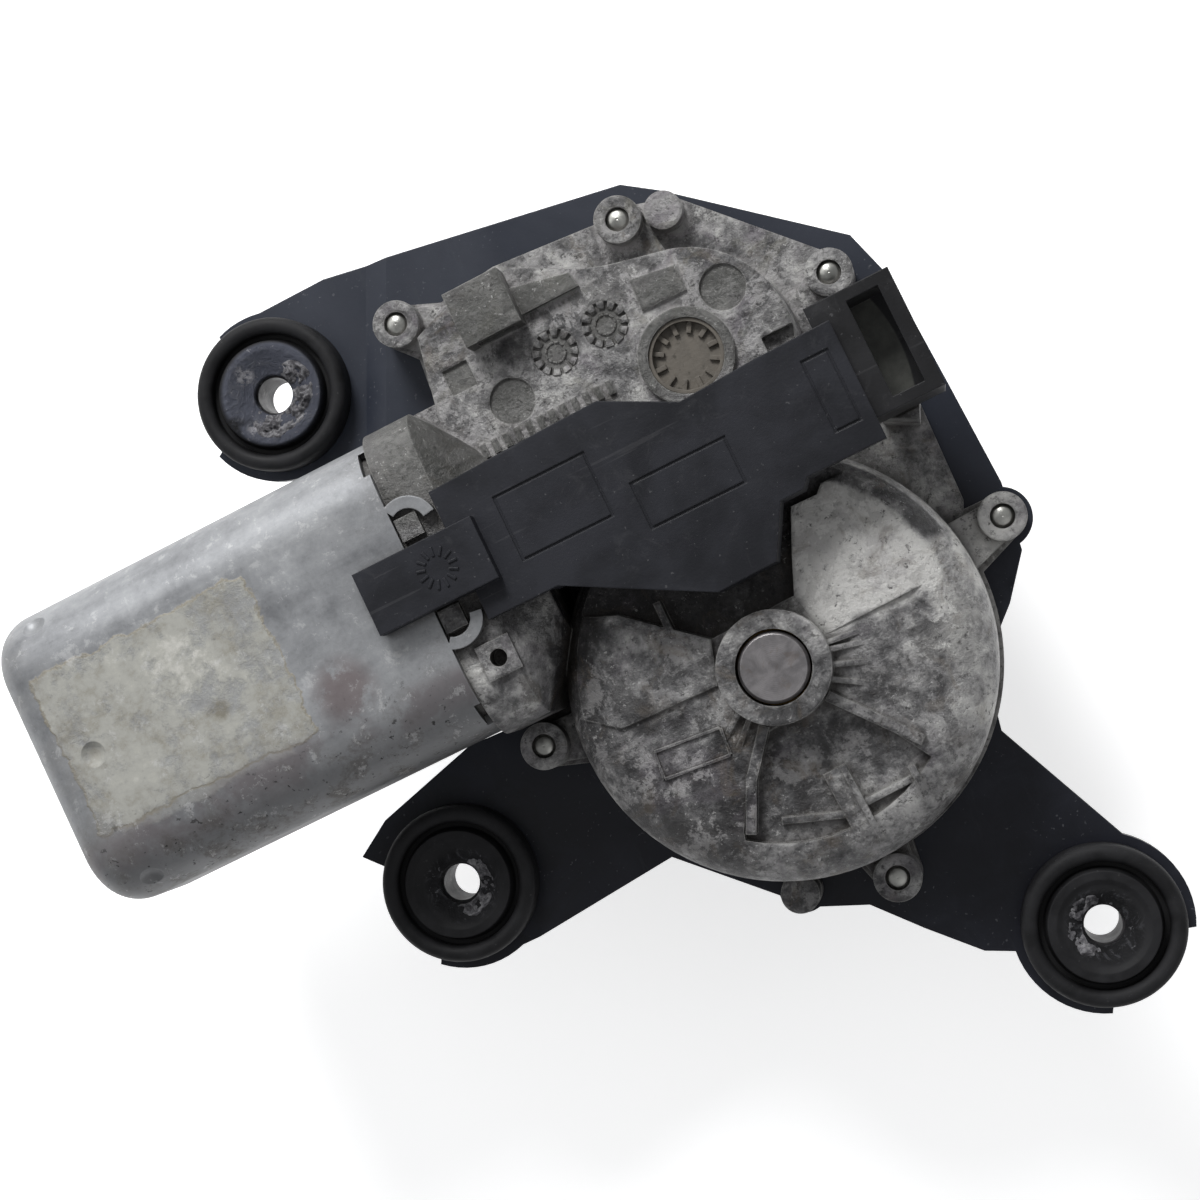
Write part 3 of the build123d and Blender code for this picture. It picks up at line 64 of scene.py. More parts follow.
# ------------------------------------------------------------------ material nodes
class Paint:
    """A procedural material under construction."""

    def __init__(self, name, metallic=0.0, roughness=0.5, specular=0.5):
        self.material = bpy.data.materials.new(name)
        self.material.use_nodes = True
        self.tree = self.material.node_tree
        self.tree.nodes.clear()
        self.shader = self.tree.nodes.new("ShaderNodeBsdfPrincipled")
        output = self.tree.nodes.new("ShaderNodeOutputMaterial")
        self.tree.links.new(self.shader.outputs[0], output.inputs[0])
        self.shader.inputs["Metallic"].default_value = metallic
        self.shader.inputs["Roughness"].default_value = roughness
        self.shader.inputs["Specular IOR Level"].default_value = specular
        self.place = self.tree.nodes.new("ShaderNodeTexCoord").outputs["Object"]
        self.axes = None

    def link(self, value, socket):
        """Sets a number or colour on a socket, or links another socket to it."""
        if isinstance(value, (int, float)):
            socket.default_value = value
        elif isinstance(value, tuple):
            socket.default_value = (*value, 1.0) if len(value) == 3 else value
        else:
            self.tree.links.new(value, socket)

    def noise(self, size, detail=4.0, rough=0.55, warp=0.0, stretch=None):
        """Noise whose largest blotches are about size millimetres across."""
        node = self.tree.nodes.new("ShaderNodeTexNoise")
        node.inputs["Scale"].default_value = 1.0 / (size * MM)
        node.inputs["Detail"].default_value = detail
        node.inputs["Roughness"].default_value = rough
        node.inputs["Distortion"].default_value = warp
        vector = self.place
        if stretch:
            mapping = self.tree.nodes.new("ShaderNodeMapping")
            mapping.inputs["Scale"].default_value = stretch
            self.link(vector, mapping.inputs["Vector"])
            vector = mapping.outputs[0]
        self.link(vector, node.inputs["Vector"])
        return node.outputs["Fac"]

    def math(self, operation, first, second=0.0, clamp=False):
        """Result of one arithmetic node."""
        node = self.tree.nodes.new("ShaderNodeMath")
        node.operation = operation
        node.use_clamp = clamp
        self.link(first, node.inputs[0])
        self.link(second, node.inputs[1])
        return node.outputs[0]

    def times(self, first, second, clamp=False):
        """Product of two values."""
        return self.math("MULTIPLY", first, second, clamp)

    def span(self, value, low, high, start=0.0, end=1.0):
        """Maps low..high smoothly to start..end, held outside."""
        node = self.tree.nodes.new("ShaderNodeMapRange")
        node.interpolation_type = "SMOOTHSTEP"
        for socket, number in zip(("From Min", "From Max", "To Min", "To Max"), (low, high, start, end)):
            node.inputs[socket].default_value = number
        self.link(value, node.inputs["Value"])
        return node.outputs[0]

    def mix(self, factor, first, second):
        """Colour that goes from first to second as the factor goes from 0 to 1."""
        node = self.tree.nodes.new("ShaderNodeMix")
        node.data_type = "RGBA"
        self.link(factor, node.inputs["Factor"])
        self.link(first, node.inputs[6])
        self.link(second, node.inputs[7])
        return node.outputs[2]

    def ramp(self, value, *stops):
        """Colour ramp through (place, colour) stops."""
        node = self.tree.nodes.new("ShaderNodeValToRGB")
        bar = node.color_ramp.elements
        while len(bar) < len(stops):
            bar.new(0.5)
        for element, (place, tone) in zip(bar, sorted(stops)):
            element.position = place
            element.color = (*tone, 1.0)
        self.link(value, node.inputs["Fac"])
        return node.outputs[0]

    def blend(self, *weighted):
        """Sum of values times their weights."""
        total = None
        for value, weight in weighted:
            term = self.times(value, weight)
            total = term if total is None else self.math("ADD", total, term)
        return total

    def axis(self, index):
        """One object coordinate in millimetres."""
        if self.axes is None:
            node = self.tree.nodes.new("ShaderNodeSeparateXYZ")
            self.link(self.place, node.inputs[0])
            self.axes = [self.times(node.outputs[i], 1 / MM) for i in range(3)]
        return self.axes[index]

    def between(self, value, low, high, soft):
        """1 inside low..high, 0 outside, with soft edges."""
        rising = self.span(value, low - soft, low + soft)
        falling = self.span(value, high - soft, high + soft, 1.0, 0.0)
        return self.times(rising, falling)

    def patch(self, low, high, soft, wobble=0.0, size=6.0):
        """Mask of an upright box between two plan corners, with a ragged outline."""
        x, y = self.axis(0), self.axis(1)
        if wobble:
            push = self.math("SUBTRACT", self.noise(size, 5.0, 0.65), 0.5)
            x = self.math("ADD", x, self.times(push, 2 * wobble))
            pull = self.math("SUBTRACT", self.noise(size * 1.3, 5.0, 0.65), 0.5)
            y = self.math("ADD", y, self.times(pull, 2 * wobble))
        return self.times(self.between(x, low[0], high[0], soft), self.between(y, low[1], high[1], soft))

    def distance(self, centre):
        """Distance on the plan from a centre."""
        x = self.math("SUBTRACT", self.axis(0), centre[0])
        y = self.math("SUBTRACT", self.axis(1), centre[1])
        return self.math("SQRT", self.math("ADD", self.times(x, x), self.times(y, y)))

    def disc(self, centre, radius, soft):
        """Mask of a round field on the plan."""
        return self.span(self.distance(centre), radius - soft, radius + soft, 1.0, 0.0)

    def edges(self, radius, low=0.02, high=0.25):
        """Mask of the sharp edges, from the difference of the rounded and the true normal."""
        bevel = self.tree.nodes.new("ShaderNodeBevel")
        bevel.samples = 4
        bevel.inputs["Radius"].default_value = radius * MM
        geometry = self.tree.nodes.new("ShaderNodeNewGeometry")
        dot = self.tree.nodes.new("ShaderNodeVectorMath")
        dot.operation = "DOT_PRODUCT"
        self.link(bevel.outputs[0], dot.inputs[0])
        self.link(geometry.outputs["Normal"], dot.inputs[1])
        return self.span(self.math("SUBTRACT", 1.0, dot.outputs["Value"]), low, high)

    def hollows(self, reach, low=0.35, high=0.95):
        """Mask of the corners and crevices."""
        node = self.tree.nodes.new("ShaderNodeAmbientOcclusion")
        node.samples = 8
        node.inputs["Distance"].default_value = reach * MM
        return self.span(node.outputs["AO"], low, high, 1.0, 0.0)

    def bump(self, height, depth, normal=None):
        """Bump of a height field whose full range is depth millimetres."""
        node = self.tree.nodes.new("ShaderNodeBump")
        node.inputs["Distance"].default_value = depth * MM
        node.inputs["Strength"].default_value = 1.0
        self.link(height, node.inputs["Height"])
        if normal is not None:
            self.link(normal, node.inputs["Normal"])
        return node.outputs[0]

    def round_edges(self, radius):
        """Normal that looks as if the edges were rounded."""
        bevel = self.tree.nodes.new("ShaderNodeBevel")
        bevel.samples = 4
        bevel.inputs["Radius"].default_value = radius * MM
        return bevel.outputs[0]

    def finish(self, color, roughness=None, normal=None, metallic=None):
        """Links what was painted to the shader and gives the material."""
        self.link(color, self.shader.inputs["Base Color"])
        if roughness is not None:
            self.link(roughness, self.shader.inputs["Roughness"])
        if normal is not None:
            self.link(normal, self.shader.inputs["Normal"])
        if metallic is not None:
            self.link(metallic, self.shader.inputs["Metallic"])
        return self.material


def cast_aluminium():
    """Old die casting: mottled grey oxide, pale blooms, dark pits, and corners darkened with a brown tint as
    painted shade.
    """
    p = Paint("cast_aluminium", metallic=0.3, roughness=0.5)
    broad = p.noise(24, 3, 0.5, 0.3)
    blotch = p.noise(8, 8, 0.74, 0.2)
    crisp = p.noise(6.5, 10, 0.78, 0.25)
    stains = p.noise(10.5, 10, 0.74, 0.2)
    cloud = p.noise(4, 6, 0.7, 0.2)
    fine = p.noise(1.3, 5, 0.75)
    grit = p.noise(0.55, 3, 0.7)
    across, level = p.axis(1), p.axis(2)
    # fields of the casting that are paler or darker than the rest
    bright = p.times(p.patch((8.5, 1.0), (31.5, 25.0), 1.6, 2.5, 7), p.span(level, 25.0, 26.2))
    right_rim = p.times(p.disc((12.0, 6.0), 32.0, 9.0), p.span(p.disc((-4.0, 0.0), 32.0, 3.0), 0, 1, 1, 0))
    plate_field = p.times(p.patch((-30, -21), (-7, -3), 3.0, 4.0, 6), p.span(level, 25.0, 27.0))
    low_dome = p.patch((-36, -42), (20, -6), 6.0, 3.0, 11)
    # painted shade: the pocket under the cover's overhanging edge
    shaded_pocket = p.times(p.between(level, 22.0, 25.3, 0.4), p.patch((-40, 8), (36, 33), 1.0))
    neck = p.times(p.patch((-37.5, 0.0), (-22, 30), 3.0, 1.5, 6), p.span(level, 25.8, 27.5, 1.0, 0.0))
    left_side = p.times(p.patch((-38, -26), (-14, 2), 5.0, 3.0, 6), p.span(level, 20.0, 26.0))
    deck = p.times(p.span(across, 46.0, 50.0), p.span(level, 5.0, 6.5))
    boss = p.times(p.disc((0.0, 0.0), 10.8, 0.5), p.span(level, 30.0, 31.0))
    tone = p.blend(
        (blotch, 1.1), (broad, 0.55), (cloud, 0.55), (fine, 0.35), (bright, 0.46), (right_rim, 0.2)
    )
    tone = p.math("SUBTRACT", tone, 0.73)
    # darker fields; the pocket's share is painted shade under the cover's edge
    tone = p.math("SUBTRACT", tone, p.blend((low_dome, 0.06), (shaded_pocket, 0.3), (neck, 0.22), (left_side, 0.12)))
    color = p.ramp(
        tone,
        (0.28, (0.026, 0.025, 0.026)),
        (0.40, (0.074, 0.073, 0.075)),
        (0.50, (0.150, 0.148, 0.149)),
        (0.60, (0.265, 0.262, 0.260)),
        (0.72, (0.43, 0.425, 0.415)),
        (0.84, (0.58, 0.575, 0.555)),
    )
    # crisp-edged tarnish and pale oxide lie over the mottle
    tarnish = p.times(p.span(stains, 0.445, 0.475, 1.0, 0.0), p.span(broad, 0.35, 0.6, 0.35, 0.75))
    color = p.mix(p.times(tarnish, 0.82), color, (0.055, 0.053, 0.053))
    fields = p.math("MAXIMUM", p.math("MAXIMUM", bright, plate_field), p.times(deck, 0.65))
    oxide = p.times(p.span(crisp, 0.52, 0.575), p.math("ADD", 0.36, p.times(fields, 0.45)))
    # less pale oxide in the pocket, as part of its painted shade, and on the boss
    oxide = p.times(oxide, p.span(p.math("MAXIMUM", shaded_pocket, boss), 0.0, 1.0, 1.0, 0.15))
    color = p.mix(oxide, color, (0.40, 0.392, 0.39))
    color = p.mix(p.times(bright, 0.34), color, (0.62, 0.605, 0.585))
    brown = p.times(p.span(p.noise(7, 6, 0.7, 1.0), 0.52, 0.66), p.span(broad, 0.62, 0.4))
    color = p.mix(p.times(brown, 0.42), color, (0.125, 0.098, 0.070))
    plum = p.times(p.span(p.noise(11, 5, 0.65, 0.6), 0.54, 0.64), p.math("ADD", 0.25, p.times(deck, 0.25)))
    color = p.mix(plum, color, (0.165, 0.148, 0.168))
    moss = p.times(p.span(p.noise(10, 6, 0.7, 0.7), 0.54, 0.66), p.times(deck, 0.4))
    color = p.mix(moss, color, (0.155, 0.150, 0.118))
    # raised marks of the deck have dark tops; white deposits gather round their feet
    tops = p.times(deck, p.between(level, 23.3, 23.9, 0.05))
    tops = p.math("MAXIMUM", tops, p.times(deck, p.span(level, 24.3, 24.45)))
    color = p.mix(p.times(tops, 0.72), color, (0.088, 0.088, 0.081))
    feet = p.times(p.hollows(2.6, 0.45, 0.95), p.span(p.noise(5.0, 8, 0.75, 0.3), 0.42, 0.56))
    feet = p.times(p.times(feet, deck), p.span(tops, 0.0, 1.0, 1.0, 0.2))
    pits = p.times(p.span(fine, 0.36, 0.44, 1.0, 0.0), p.span(cloud, 0.44, 0.6, 0.25, 0.85))
    color = p.mix(pits, color, (0.05, 0.048, 0.047))
    salt = p.times(p.span(p.noise(0.9, 4, 0.75), 0.60, 0.66), p.span(blotch, 0.45, 0.62, 0.15, 0.8))
    color = p.mix(salt, color, (0.52, 0.515, 0.505))
    # painted shade: corners and crevices are darkened with a brown tint, less on the deck
    crevice_shade = p.times(p.hollows(3.2, 0.3, 0.9), p.span(deck, 0.0, 1.0, 0.78, 0.42))
    color = p.mix(crevice_shade, color, (0.034, 0.029, 0.024))
    color = p.mix(p.times(feet, 0.75), color, (0.47, 0.455, 0.455))
    # pale edges: partly wear, partly a painted highlight along the ribs' edges
    edge_wear_and_highlight = p.times(p.edges(0.45), p.span(cloud, 0.4, 0.55, 0.3, 0.85))
    color = p.mix(edge_wear_and_highlight, color, (0.40, 0.395, 0.38))
    rough = p.span(blotch, 0.3, 0.7, 0.40, 0.66)
    height = p.blend((fine, 0.5), (cloud, 0.8), (blotch, 0.6), (crisp, 0.5))
    normal = p.bump(height, 0.6, p.round_edges(0.9))
    normal = p.bump(grit, 0.06, normal)
    metal = p.times(p.span(blotch, 0.35, 0.65, 0.2, 0.5), p.span(bright, 0.0, 1.0, 1.0, 0.1))
    return p.finish(color, rough, normal, metal)


def zinc_sheet():
    """Zinc-plated deep-drawn sheet with the remains of a label and light corrosion."""
    p = Paint("zinc_sheet", metallic=0.55, roughness=0.4)
    spangle = p.noise(7, 7, 0.66, 0.1)
    haze = p.noise(30, 3, 0.5, 0.2)
    streak = p.noise(4, 5, 0.6, 0.1, stretch=(0.18, 1.0, 1.0))
    fine = p.noise(0.8, 3, 0.6)
    grime = p.noise(7, 8, 0.75, 0.2)
    across, level = p.axis(1), p.axis(2)
    flakes = p.noise(2.0, 7, 0.74, 0.1)
    tone = p.blend((spangle, 0.55), (haze, 0.4), (streak, 0.35), (flakes, 0.3))
    tone = p.math("SUBTRACT", tone, 0.30)
    color = p.ramp(
        tone,
        (0.32, (0.185, 0.190, 0.200)),
        (0.46, (0.275, 0.282, 0.293)),
        (0.58, (0.345, 0.353, 0.364)),
        (0.72, (0.44, 0.448, 0.46)),
    )
    top = p.span(level, 33.4, 35.6)
    # what is left of a paper label: ragged, thin in places, yellowed with grey glue
    label = p.times(p.patch((-115.5, 23.6), (-73.5, 53.0), 0.45, 2.6, 5), top)
    second = p.times(p.patch((-112.0, 22.0), (-78.0, 26.5), 0.5, 2.0, 4), top)
    glue = p.ramp(
        p.blend(
            (p.noise(8, 9, 0.74, 0.1), 0.5),
            (p.noise(2.2, 6, 0.72), 0.32),
            (p.noise(5, 6, 0.7, 0.1, stretch=(0.22, 1.0, 1.0)), 0.22),
            (p.times(p.disc((-90.6, 42.7), 6.5, 2.5), p.span(p.noise(5, 8, 0.75), 0.38, 0.55)), 0.13),
            (p.disc((-86.9, 34.5), 1.8, 1.2), -0.16),
        ),
        (0.38, (0.215, 0.200, 0.160)),
        (0.46, (0.315, 0.305, 0.265)),
        (0.53, (0.385, 0.382, 0.350)),
        (0.60, (0.430, 0.426, 0.385)),
        (0.68, (0.575, 0.565, 0.525)),
    )
    thin = p.span(p.noise(10, 10, 0.76, 0.1), 0.36, 0.52, 0.25, 0.95)
    cover = p.times(p.math("MAXIMUM", label, p.times(second, 0.5)), thin)
    color = p.mix(cover, color, glue)
    rim = p.times(p.times(label, p.math("SUBTRACT", 1.0, label)), 3.2, clamp=True)
    color = p.mix(p.times(rim, 0.7), color, (0.27, 0.235, 0.16))
    stain = p.times(p.disc((-66.0, 27.7), 5.0, 2.5), p.span(p.noise(6, 6, 0.7), 0.36, 0.52))
    color = p.mix(p.times(p.times(stain, top), 0.7), color, (0.15, 0.11, 0.11))
    # a purplish streak along the lower bend; painted shade darkens the lower side, and the side that faces
    # down in use carries corrosion
    bend = p.times(p.between(across, 16.5, 23.0, 1.6), p.span(p.noise(14, 6, 0.65, 0.6), 0.40, 0.58))
    color = p.mix(p.times(bend, 0.7), color, (0.165, 0.138, 0.145))
    low_side_shade_and_rust = p.span(across, 10.5, 30.0, 1.0, 0.0)
    # painted shade: the lower side of the can is darkened evenly
    color = p.mix(p.times(low_side_shade_and_rust, 0.68), color, (0.105, 0.105, 0.107))
    rust = p.times(p.span(grime, 0.50, 0.62), low_side_shade_and_rust)
    color = p.mix(p.times(rust, 0.75), color, (0.085, 0.076, 0.068))
    mouth = p.times(p.span(p.axis(0), -66.0, -46.0), p.span(grime, 0.42, 0.60))
    color = p.mix(p.times(mouth, 0.45), color, (0.14, 0.14, 0.145))
    far_end = p.times(p.span(p.axis(0), -118.0, -108.0, 1.0, 0.0), p.span(grime, 0.40, 0.62))
    color = p.mix(p.times(far_end, 0.4), color, (0.21, 0.205, 0.20))
    speck_share = p.math("ADD", p.times(low_side_shade_and_rust, 1.2), 0.12, clamp=True)
    speck = p.times(p.span(p.noise(1.4, 3, 0.65), 0.63, 0.69), speck_share)
    color = p.mix(p.times(speck, 0.9), color, (0.022, 0.021, 0.02))
    pale = p.times(p.span(p.noise(3.5, 9, 0.8, 0.2), 0.57, 0.62), 0.35)
    color = p.mix(pale, color, (0.60, 0.60, 0.60))
    # painted shade: the hollows are darkened
    crevice_shade = p.hollows(2.5)
    color = p.mix(p.times(crevice_shade, 0.75), color, (0.05, 0.047, 0.045))
    color = p.mix(p.times(p.edges(0.4), 0.3), color, (0.6, 0.61, 0.62))
    rough = p.math("ADD", p.span(spangle, 0.3, 0.7, 0.44, 0.58), p.times(cover, 0.25), clamp=True)
    height = p.math("ADD", p.times(cover, 1.0), p.times(p.noise(2.2, 4, 0.6), 0.25))
    normal = p.bump(height, 0.12, p.round_edges(0.3))
    normal = p.bump(fine, 0.014, normal)
    metal = p.math("SUBTRACT", 0.45, p.blend((cover, 0.4), (low_side_shade_and_rust, 0.1)), clamp=True)
    return p.finish(color, rough, normal, metal)


def black_sheet():
    """Satin blue-black coating on pressed sheet, with fine dust and rubbed edges."""
    p = Paint("black_sheet", roughness=0.42, specular=0.32)
    cloud = p.noise(30, 4, 0.55, 0.5)
    smoke = p.noise(9, 6, 0.68, 0.8)
    fine = p.noise(0.7, 3, 0.6)
    color = p.ramp(
        p.blend((cloud, 0.6), (smoke, 0.4)),
        (0.36, (0.0060, 0.0064, 0.0105)),
        (0.52, (0.0120, 0.0133, 0.0205)),
        (0.66, (0.0235, 0.0262, 0.0365)),
    )
    # painted sheen: the coating is lighter and bluer towards +Y
    painted_sky_sheen = p.span(p.axis(1), -15.0, 45.0, 0.0, 1.0)
    color = p.mix(p.times(painted_sky_sheen, 0.6), color, (0.034, 0.040, 0.056))
    dust = p.times(p.span(p.noise(0.8, 2, 0.5), 0.67, 0.73), p.span(p.noise(12, 4, 0.6), 0.42, 0.62))
    color = p.mix(p.times(dust, 0.4), color, (0.17, 0.175, 0.19))
    streaks = p.noise(3, 5, 0.7, 0.0, stretch=(1.0, 0.2, 1.0))
    color = p.mix(p.times(p.span(streaks, 0.58, 0.75), 0.22), color, (0.045, 0.05, 0.058))
    color = p.mix(p.times(p.edges(0.25), 0.4), color, (0.09, 0.092, 0.098))
    grease = p.times(p.disc((-67.0, -14.0), 24.0, 9.0), p.span(smoke, 0.38, 0.6))
    color = p.mix(p.times(grease, 0.6), color, (0.004, 0.004, 0.005))
    rough = p.span(cloud, 0.3, 0.7, 0.34, 0.52)
    normal = p.bump(fine, 0.02, p.round_edges(0.3))
    return p.finish(color, rough, normal)


def black_plastic(name, tone, grain_depth, dust_amount, socket_floor=None):
    """Matte moulded plastic with a fine spark texture, dust and pale rubbed edges."""
    p = Paint(name, roughness=0.5, specular=0.3)
    cloud = p.noise(16, 4, 0.6, 0.3)
    spark = p.noise(0.55, 3, 0.65)
    low = tuple(0.72 * c for c in tone)
    high = tuple(1.3 * c for c in tone)
    color = p.mix(p.span(cloud, 0.35, 0.65), low, high)
    dust = p.times(p.span(p.noise(5, 8, 0.75, 0.6), 0.55, 0.68), dust_amount)
    color = p.mix(dust, color, (0.10, 0.10, 0.105))
    specks = p.span(p.noise(0.9, 3, 0.6), 0.68, 0.72)
    color = p.mix(p.times(specks, 0.3), color, (0.16, 0.16, 0.165))
    color = p.mix(p.times(p.edges(0.22), 0.45), color, (0.065, 0.066, 0.072))
    if socket_floor:
        # polished bottom of the connector's well, with an arc for its outer edge
        arc_centre, arc_radius, level = socket_floor
        at_floor = p.between(p.axis(2), level - 0.3, level + 0.3, 0.1)
        floor_mask = p.times(p.disc(arc_centre, arc_radius, 0.2), at_floor)
        streaks = p.span(p.noise(3, 6, 0.7, 0.2), 0.3, 0.7, 0.55, 1.0)
        color = p.mix(p.times(floor_mask, streaks), color, (0.085, 0.087, 0.078))
    scratch = p.span(p.noise(1.4, 2, 0.5, 0.0, stretch=(0.05, 1.0, 1.0)), 0.70, 0.74)
    color = p.mix(p.times(scratch, 0.18), color, (0.09, 0.09, 0.095))
    rough = p.span(cloud, 0.3, 0.7, 0.42, 0.6)
    normal = p.bump(spark, grain_depth, p.round_edges(0.3))
    return p.finish(color, rough, normal)


def grommet_rubber():
    """Black rubber; dried grey grease is smeared over the dish, thickest on the upper grommet."""
    p = Paint("grommet_rubber", roughness=0.6, specular=0.24)
    cloud = p.noise(8, 5, 0.6, 0.5)
    color = p.mix(p.span(cloud, 0.35, 0.65), (0.0080, 0.0080, 0.0090), (0.0190, 0.0190, 0.0208))
    smear = p.noise(4.2, 8, 0.74, 2.6)
    upper = p.disc((-63.0, 85.0), 9.4, 0.5)
    lower = p.disc((-69.6, -10.8), 6.6, 0.9)
    right = p.disc((29.6, -64.4), 6.4, 0.9)
    dish = p.math("MAXIMUM", p.times(upper, 1.0), p.math("MAXIMUM", p.times(lower, 0.8), right))
    film = p.times(upper, p.span(p.noise(10, 4, 0.6, 0.4), 0.25, 0.48))
    color = p.mix(p.times(film, 0.9), color, (0.082, 0.088, 0.114))
    smudges = p.math("MAXIMUM", p.disc((-66.5, 90.4), 1.6, 0.7), p.disc((-68.3, 80.6), 1.5, 0.9))
    smudge = p.times(smudges, p.span(p.noise(1.6, 7, 0.75, 0.5), 0.44, 0.58))
    crust = p.times(p.span(smear, 0.52, 0.62), dish)
    color = p.mix(p.times(crust, 0.4), color, (0.12, 0.122, 0.135))
    fleck = p.times(p.span(p.noise(1.3, 5, 0.7, 0.3), 0.62, 0.68), dish)
    color = p.mix(p.times(fleck, 0.6), color, (0.30, 0.30, 0.32))
    color = p.mix(p.times(smudge, 0.85), color, (0.33, 0.325, 0.34))
    dust = p.span(p.noise(0.9, 3, 0.6), 0.68, 0.74)
    color = p.mix(p.times(dust, 0.25), color, (0.12, 0.12, 0.12))
    color = p.mix(p.times(p.edges(0.4), 0.25), color, (0.045, 0.045, 0.048))
    # painted shade: the hollows are darkened almost to black
    color = p.mix(p.times(p.hollows(2.0), 0.7), color, (0.002, 0.002, 0.002))
    rough = p.math("SUBTRACT", p.span(cloud, 0.35, 0.65, 0.55, 0.72), p.times(crust, 0.2))
    folds = p.times(p.blend((smear, 1.0), (p.noise(1.6, 6, 0.7, 0.4), 0.6)), dish)
    normal = p.bump(folds, 0.7, p.round_edges(0.4))
    normal = p.bump(p.noise(1.1, 4, 0.6), 0.05, normal)
    return p.finish(color, rough, normal)


def dried_grease():
    """Grey grease dried into folds: dark in the creases as painted shade, pale on the crests as a painted
    highlight.
    """
    p = Paint("dried_grease", roughness=0.45, specular=0.4)
    folds = p.noise(3.0, 9, 0.74, 1.6)
    fine = p.noise(0.9, 5, 0.7, 0.4)
    # painted shade and highlight: near black in the creases, pale grey on the crests of the folds
    color = p.ramp(
        p.blend((folds, 0.75), (fine, 0.35)),
        (0.38, (0.014, 0.014, 0.016)),
        (0.47, (0.075, 0.073, 0.080)),
        (0.55, (0.17, 0.167, 0.178)),
        (0.65, (0.40, 0.395, 0.41)),
    )
    normal = p.bump(p.blend((folds, 1.0), (fine, 0.4)), 1.2, p.round_edges(0.2))
    return p.finish(color, p.span(fine, 0.3, 0.7, 0.32, 0.6), normal)


def greasy_sleeve():
    """Compression sleeve darkened by grease and dirt."""
    p = Paint("greasy_sleeve", metallic=0.5, roughness=0.5)
    film = p.noise(5, 7, 0.7, 0.3)
    color = p.mix(p.span(film, 0.35, 0.65), (0.010, 0.010, 0.011), (0.055, 0.053, 0.056))
    rubbed = p.span(p.noise(2, 5, 0.7), 0.60, 0.68)
    color = p.mix(p.times(rubbed, 0.5), color, (0.22, 0.22, 0.22))
    normal = p.bump(film, 0.15, p.round_edges(0.2))
    return p.finish(color, p.span(film, 0.3, 0.7, 0.35, 0.6), normal)


def turned_steel(name, tone, rough_low, rough_high, rust=0.25):
    """Turned steel with tool rings about the output axis, light rust and scuffs."""
    p = Paint(name, metallic=0.9, roughness=0.35)
    rings = p.math("SINE", p.times(p.distance((0.0, 0.0)), 20.0))
    cloud = p.noise(4, 6, 0.65, 0.4)
    low = tuple(0.75 * c for c in tone)
    color = p.mix(p.span(cloud, 0.35, 0.65), low, tone)
    stain = p.times(p.span(p.noise(2.5, 6, 0.7, 0.5), 0.54, 0.66), rust)
    color = p.mix(stain, color, (0.17, 0.12, 0.08))
    color = p.mix(p.times(p.edges(0.3), 0.85), color, (0.72, 0.71, 0.71))
    rough = p.span(cloud, 0.3, 0.7, rough_low, rough_high)
    normal = p.bump(p.times(rings, 0.5), 0.008, p.round_edges(0.25))
    normal = p.bump(p.noise(0.6, 3, 0.6), 0.02, normal)
    return p.finish(color, rough, normal)


def plain_metal(name, tone, roughness, size=3.0, metallic=0.9, tint=(0.12, 0.09, 0.06), tint_amount=0.2):
    """Metal with clouded tone, tarnish and a fine scratched surface."""
    p = Paint(name, metallic=metallic, roughness=roughness)
    cloud = p.noise(size, 6, 0.65, 0.5)
    color = p.mix(p.span(cloud, 0.35, 0.65), tuple(0.72 * c for c in tone), tone)
    tarnish = p.times(p.span(p.noise(size * 1.7, 7, 0.7, 0.8), 0.53, 0.68), tint_amount)
    color = p.mix(tarnish, color, tint)
    color = p.mix(p.times(p.edges(0.2), 0.35), color, tuple(min(1.0, 1.35 * c) for c in tone))
    rough = p.span(cloud, 0.3, 0.7, max(0.1, roughness - 0.1), min(1.0, roughness + 0.12))
    normal = p.bump(p.noise(0.6, 4, 0.6, 0.0, stretch=(0.3, 1.0, 1.0)), 0.02, p.round_edges(0.2))
    return p.finish(color, rough, normal)


def plain_solid(name, tone, roughness, size=6.0, dirt=(0.05, 0.045, 0.04), dirt_amount=0.2, bump_depth=0.02):
    """Non-metal with clouded tone, dirt in the corners and a fine surface."""
    p = Paint(name, roughness=roughness)
    cloud = p.noise(size, 5, 0.6, 0.4)
    color = p.mix(p.span(cloud, 0.35, 0.65), tuple(0.8 * c for c in tone), tone)
    spots = p.times(p.span(p.noise(size * 0.6, 7, 0.72, 0.5), 0.56, 0.68), dirt_amount)
    color = p.mix(spots, color, dirt)
    color = p.mix(p.times(p.edges(0.2), 0.25), color, tuple(min(1.0, 1.4 * c + 0.02) for c in tone))
    rough = p.span(cloud, 0.3, 0.7, max(0.1, roughness - 0.08), min(1.0, roughness + 0.1))
    normal = p.bump(p.noise(0.7, 4, 0.6), bump_depth, p.round_edges(0.25))
    return p.finish(color, rough, normal)


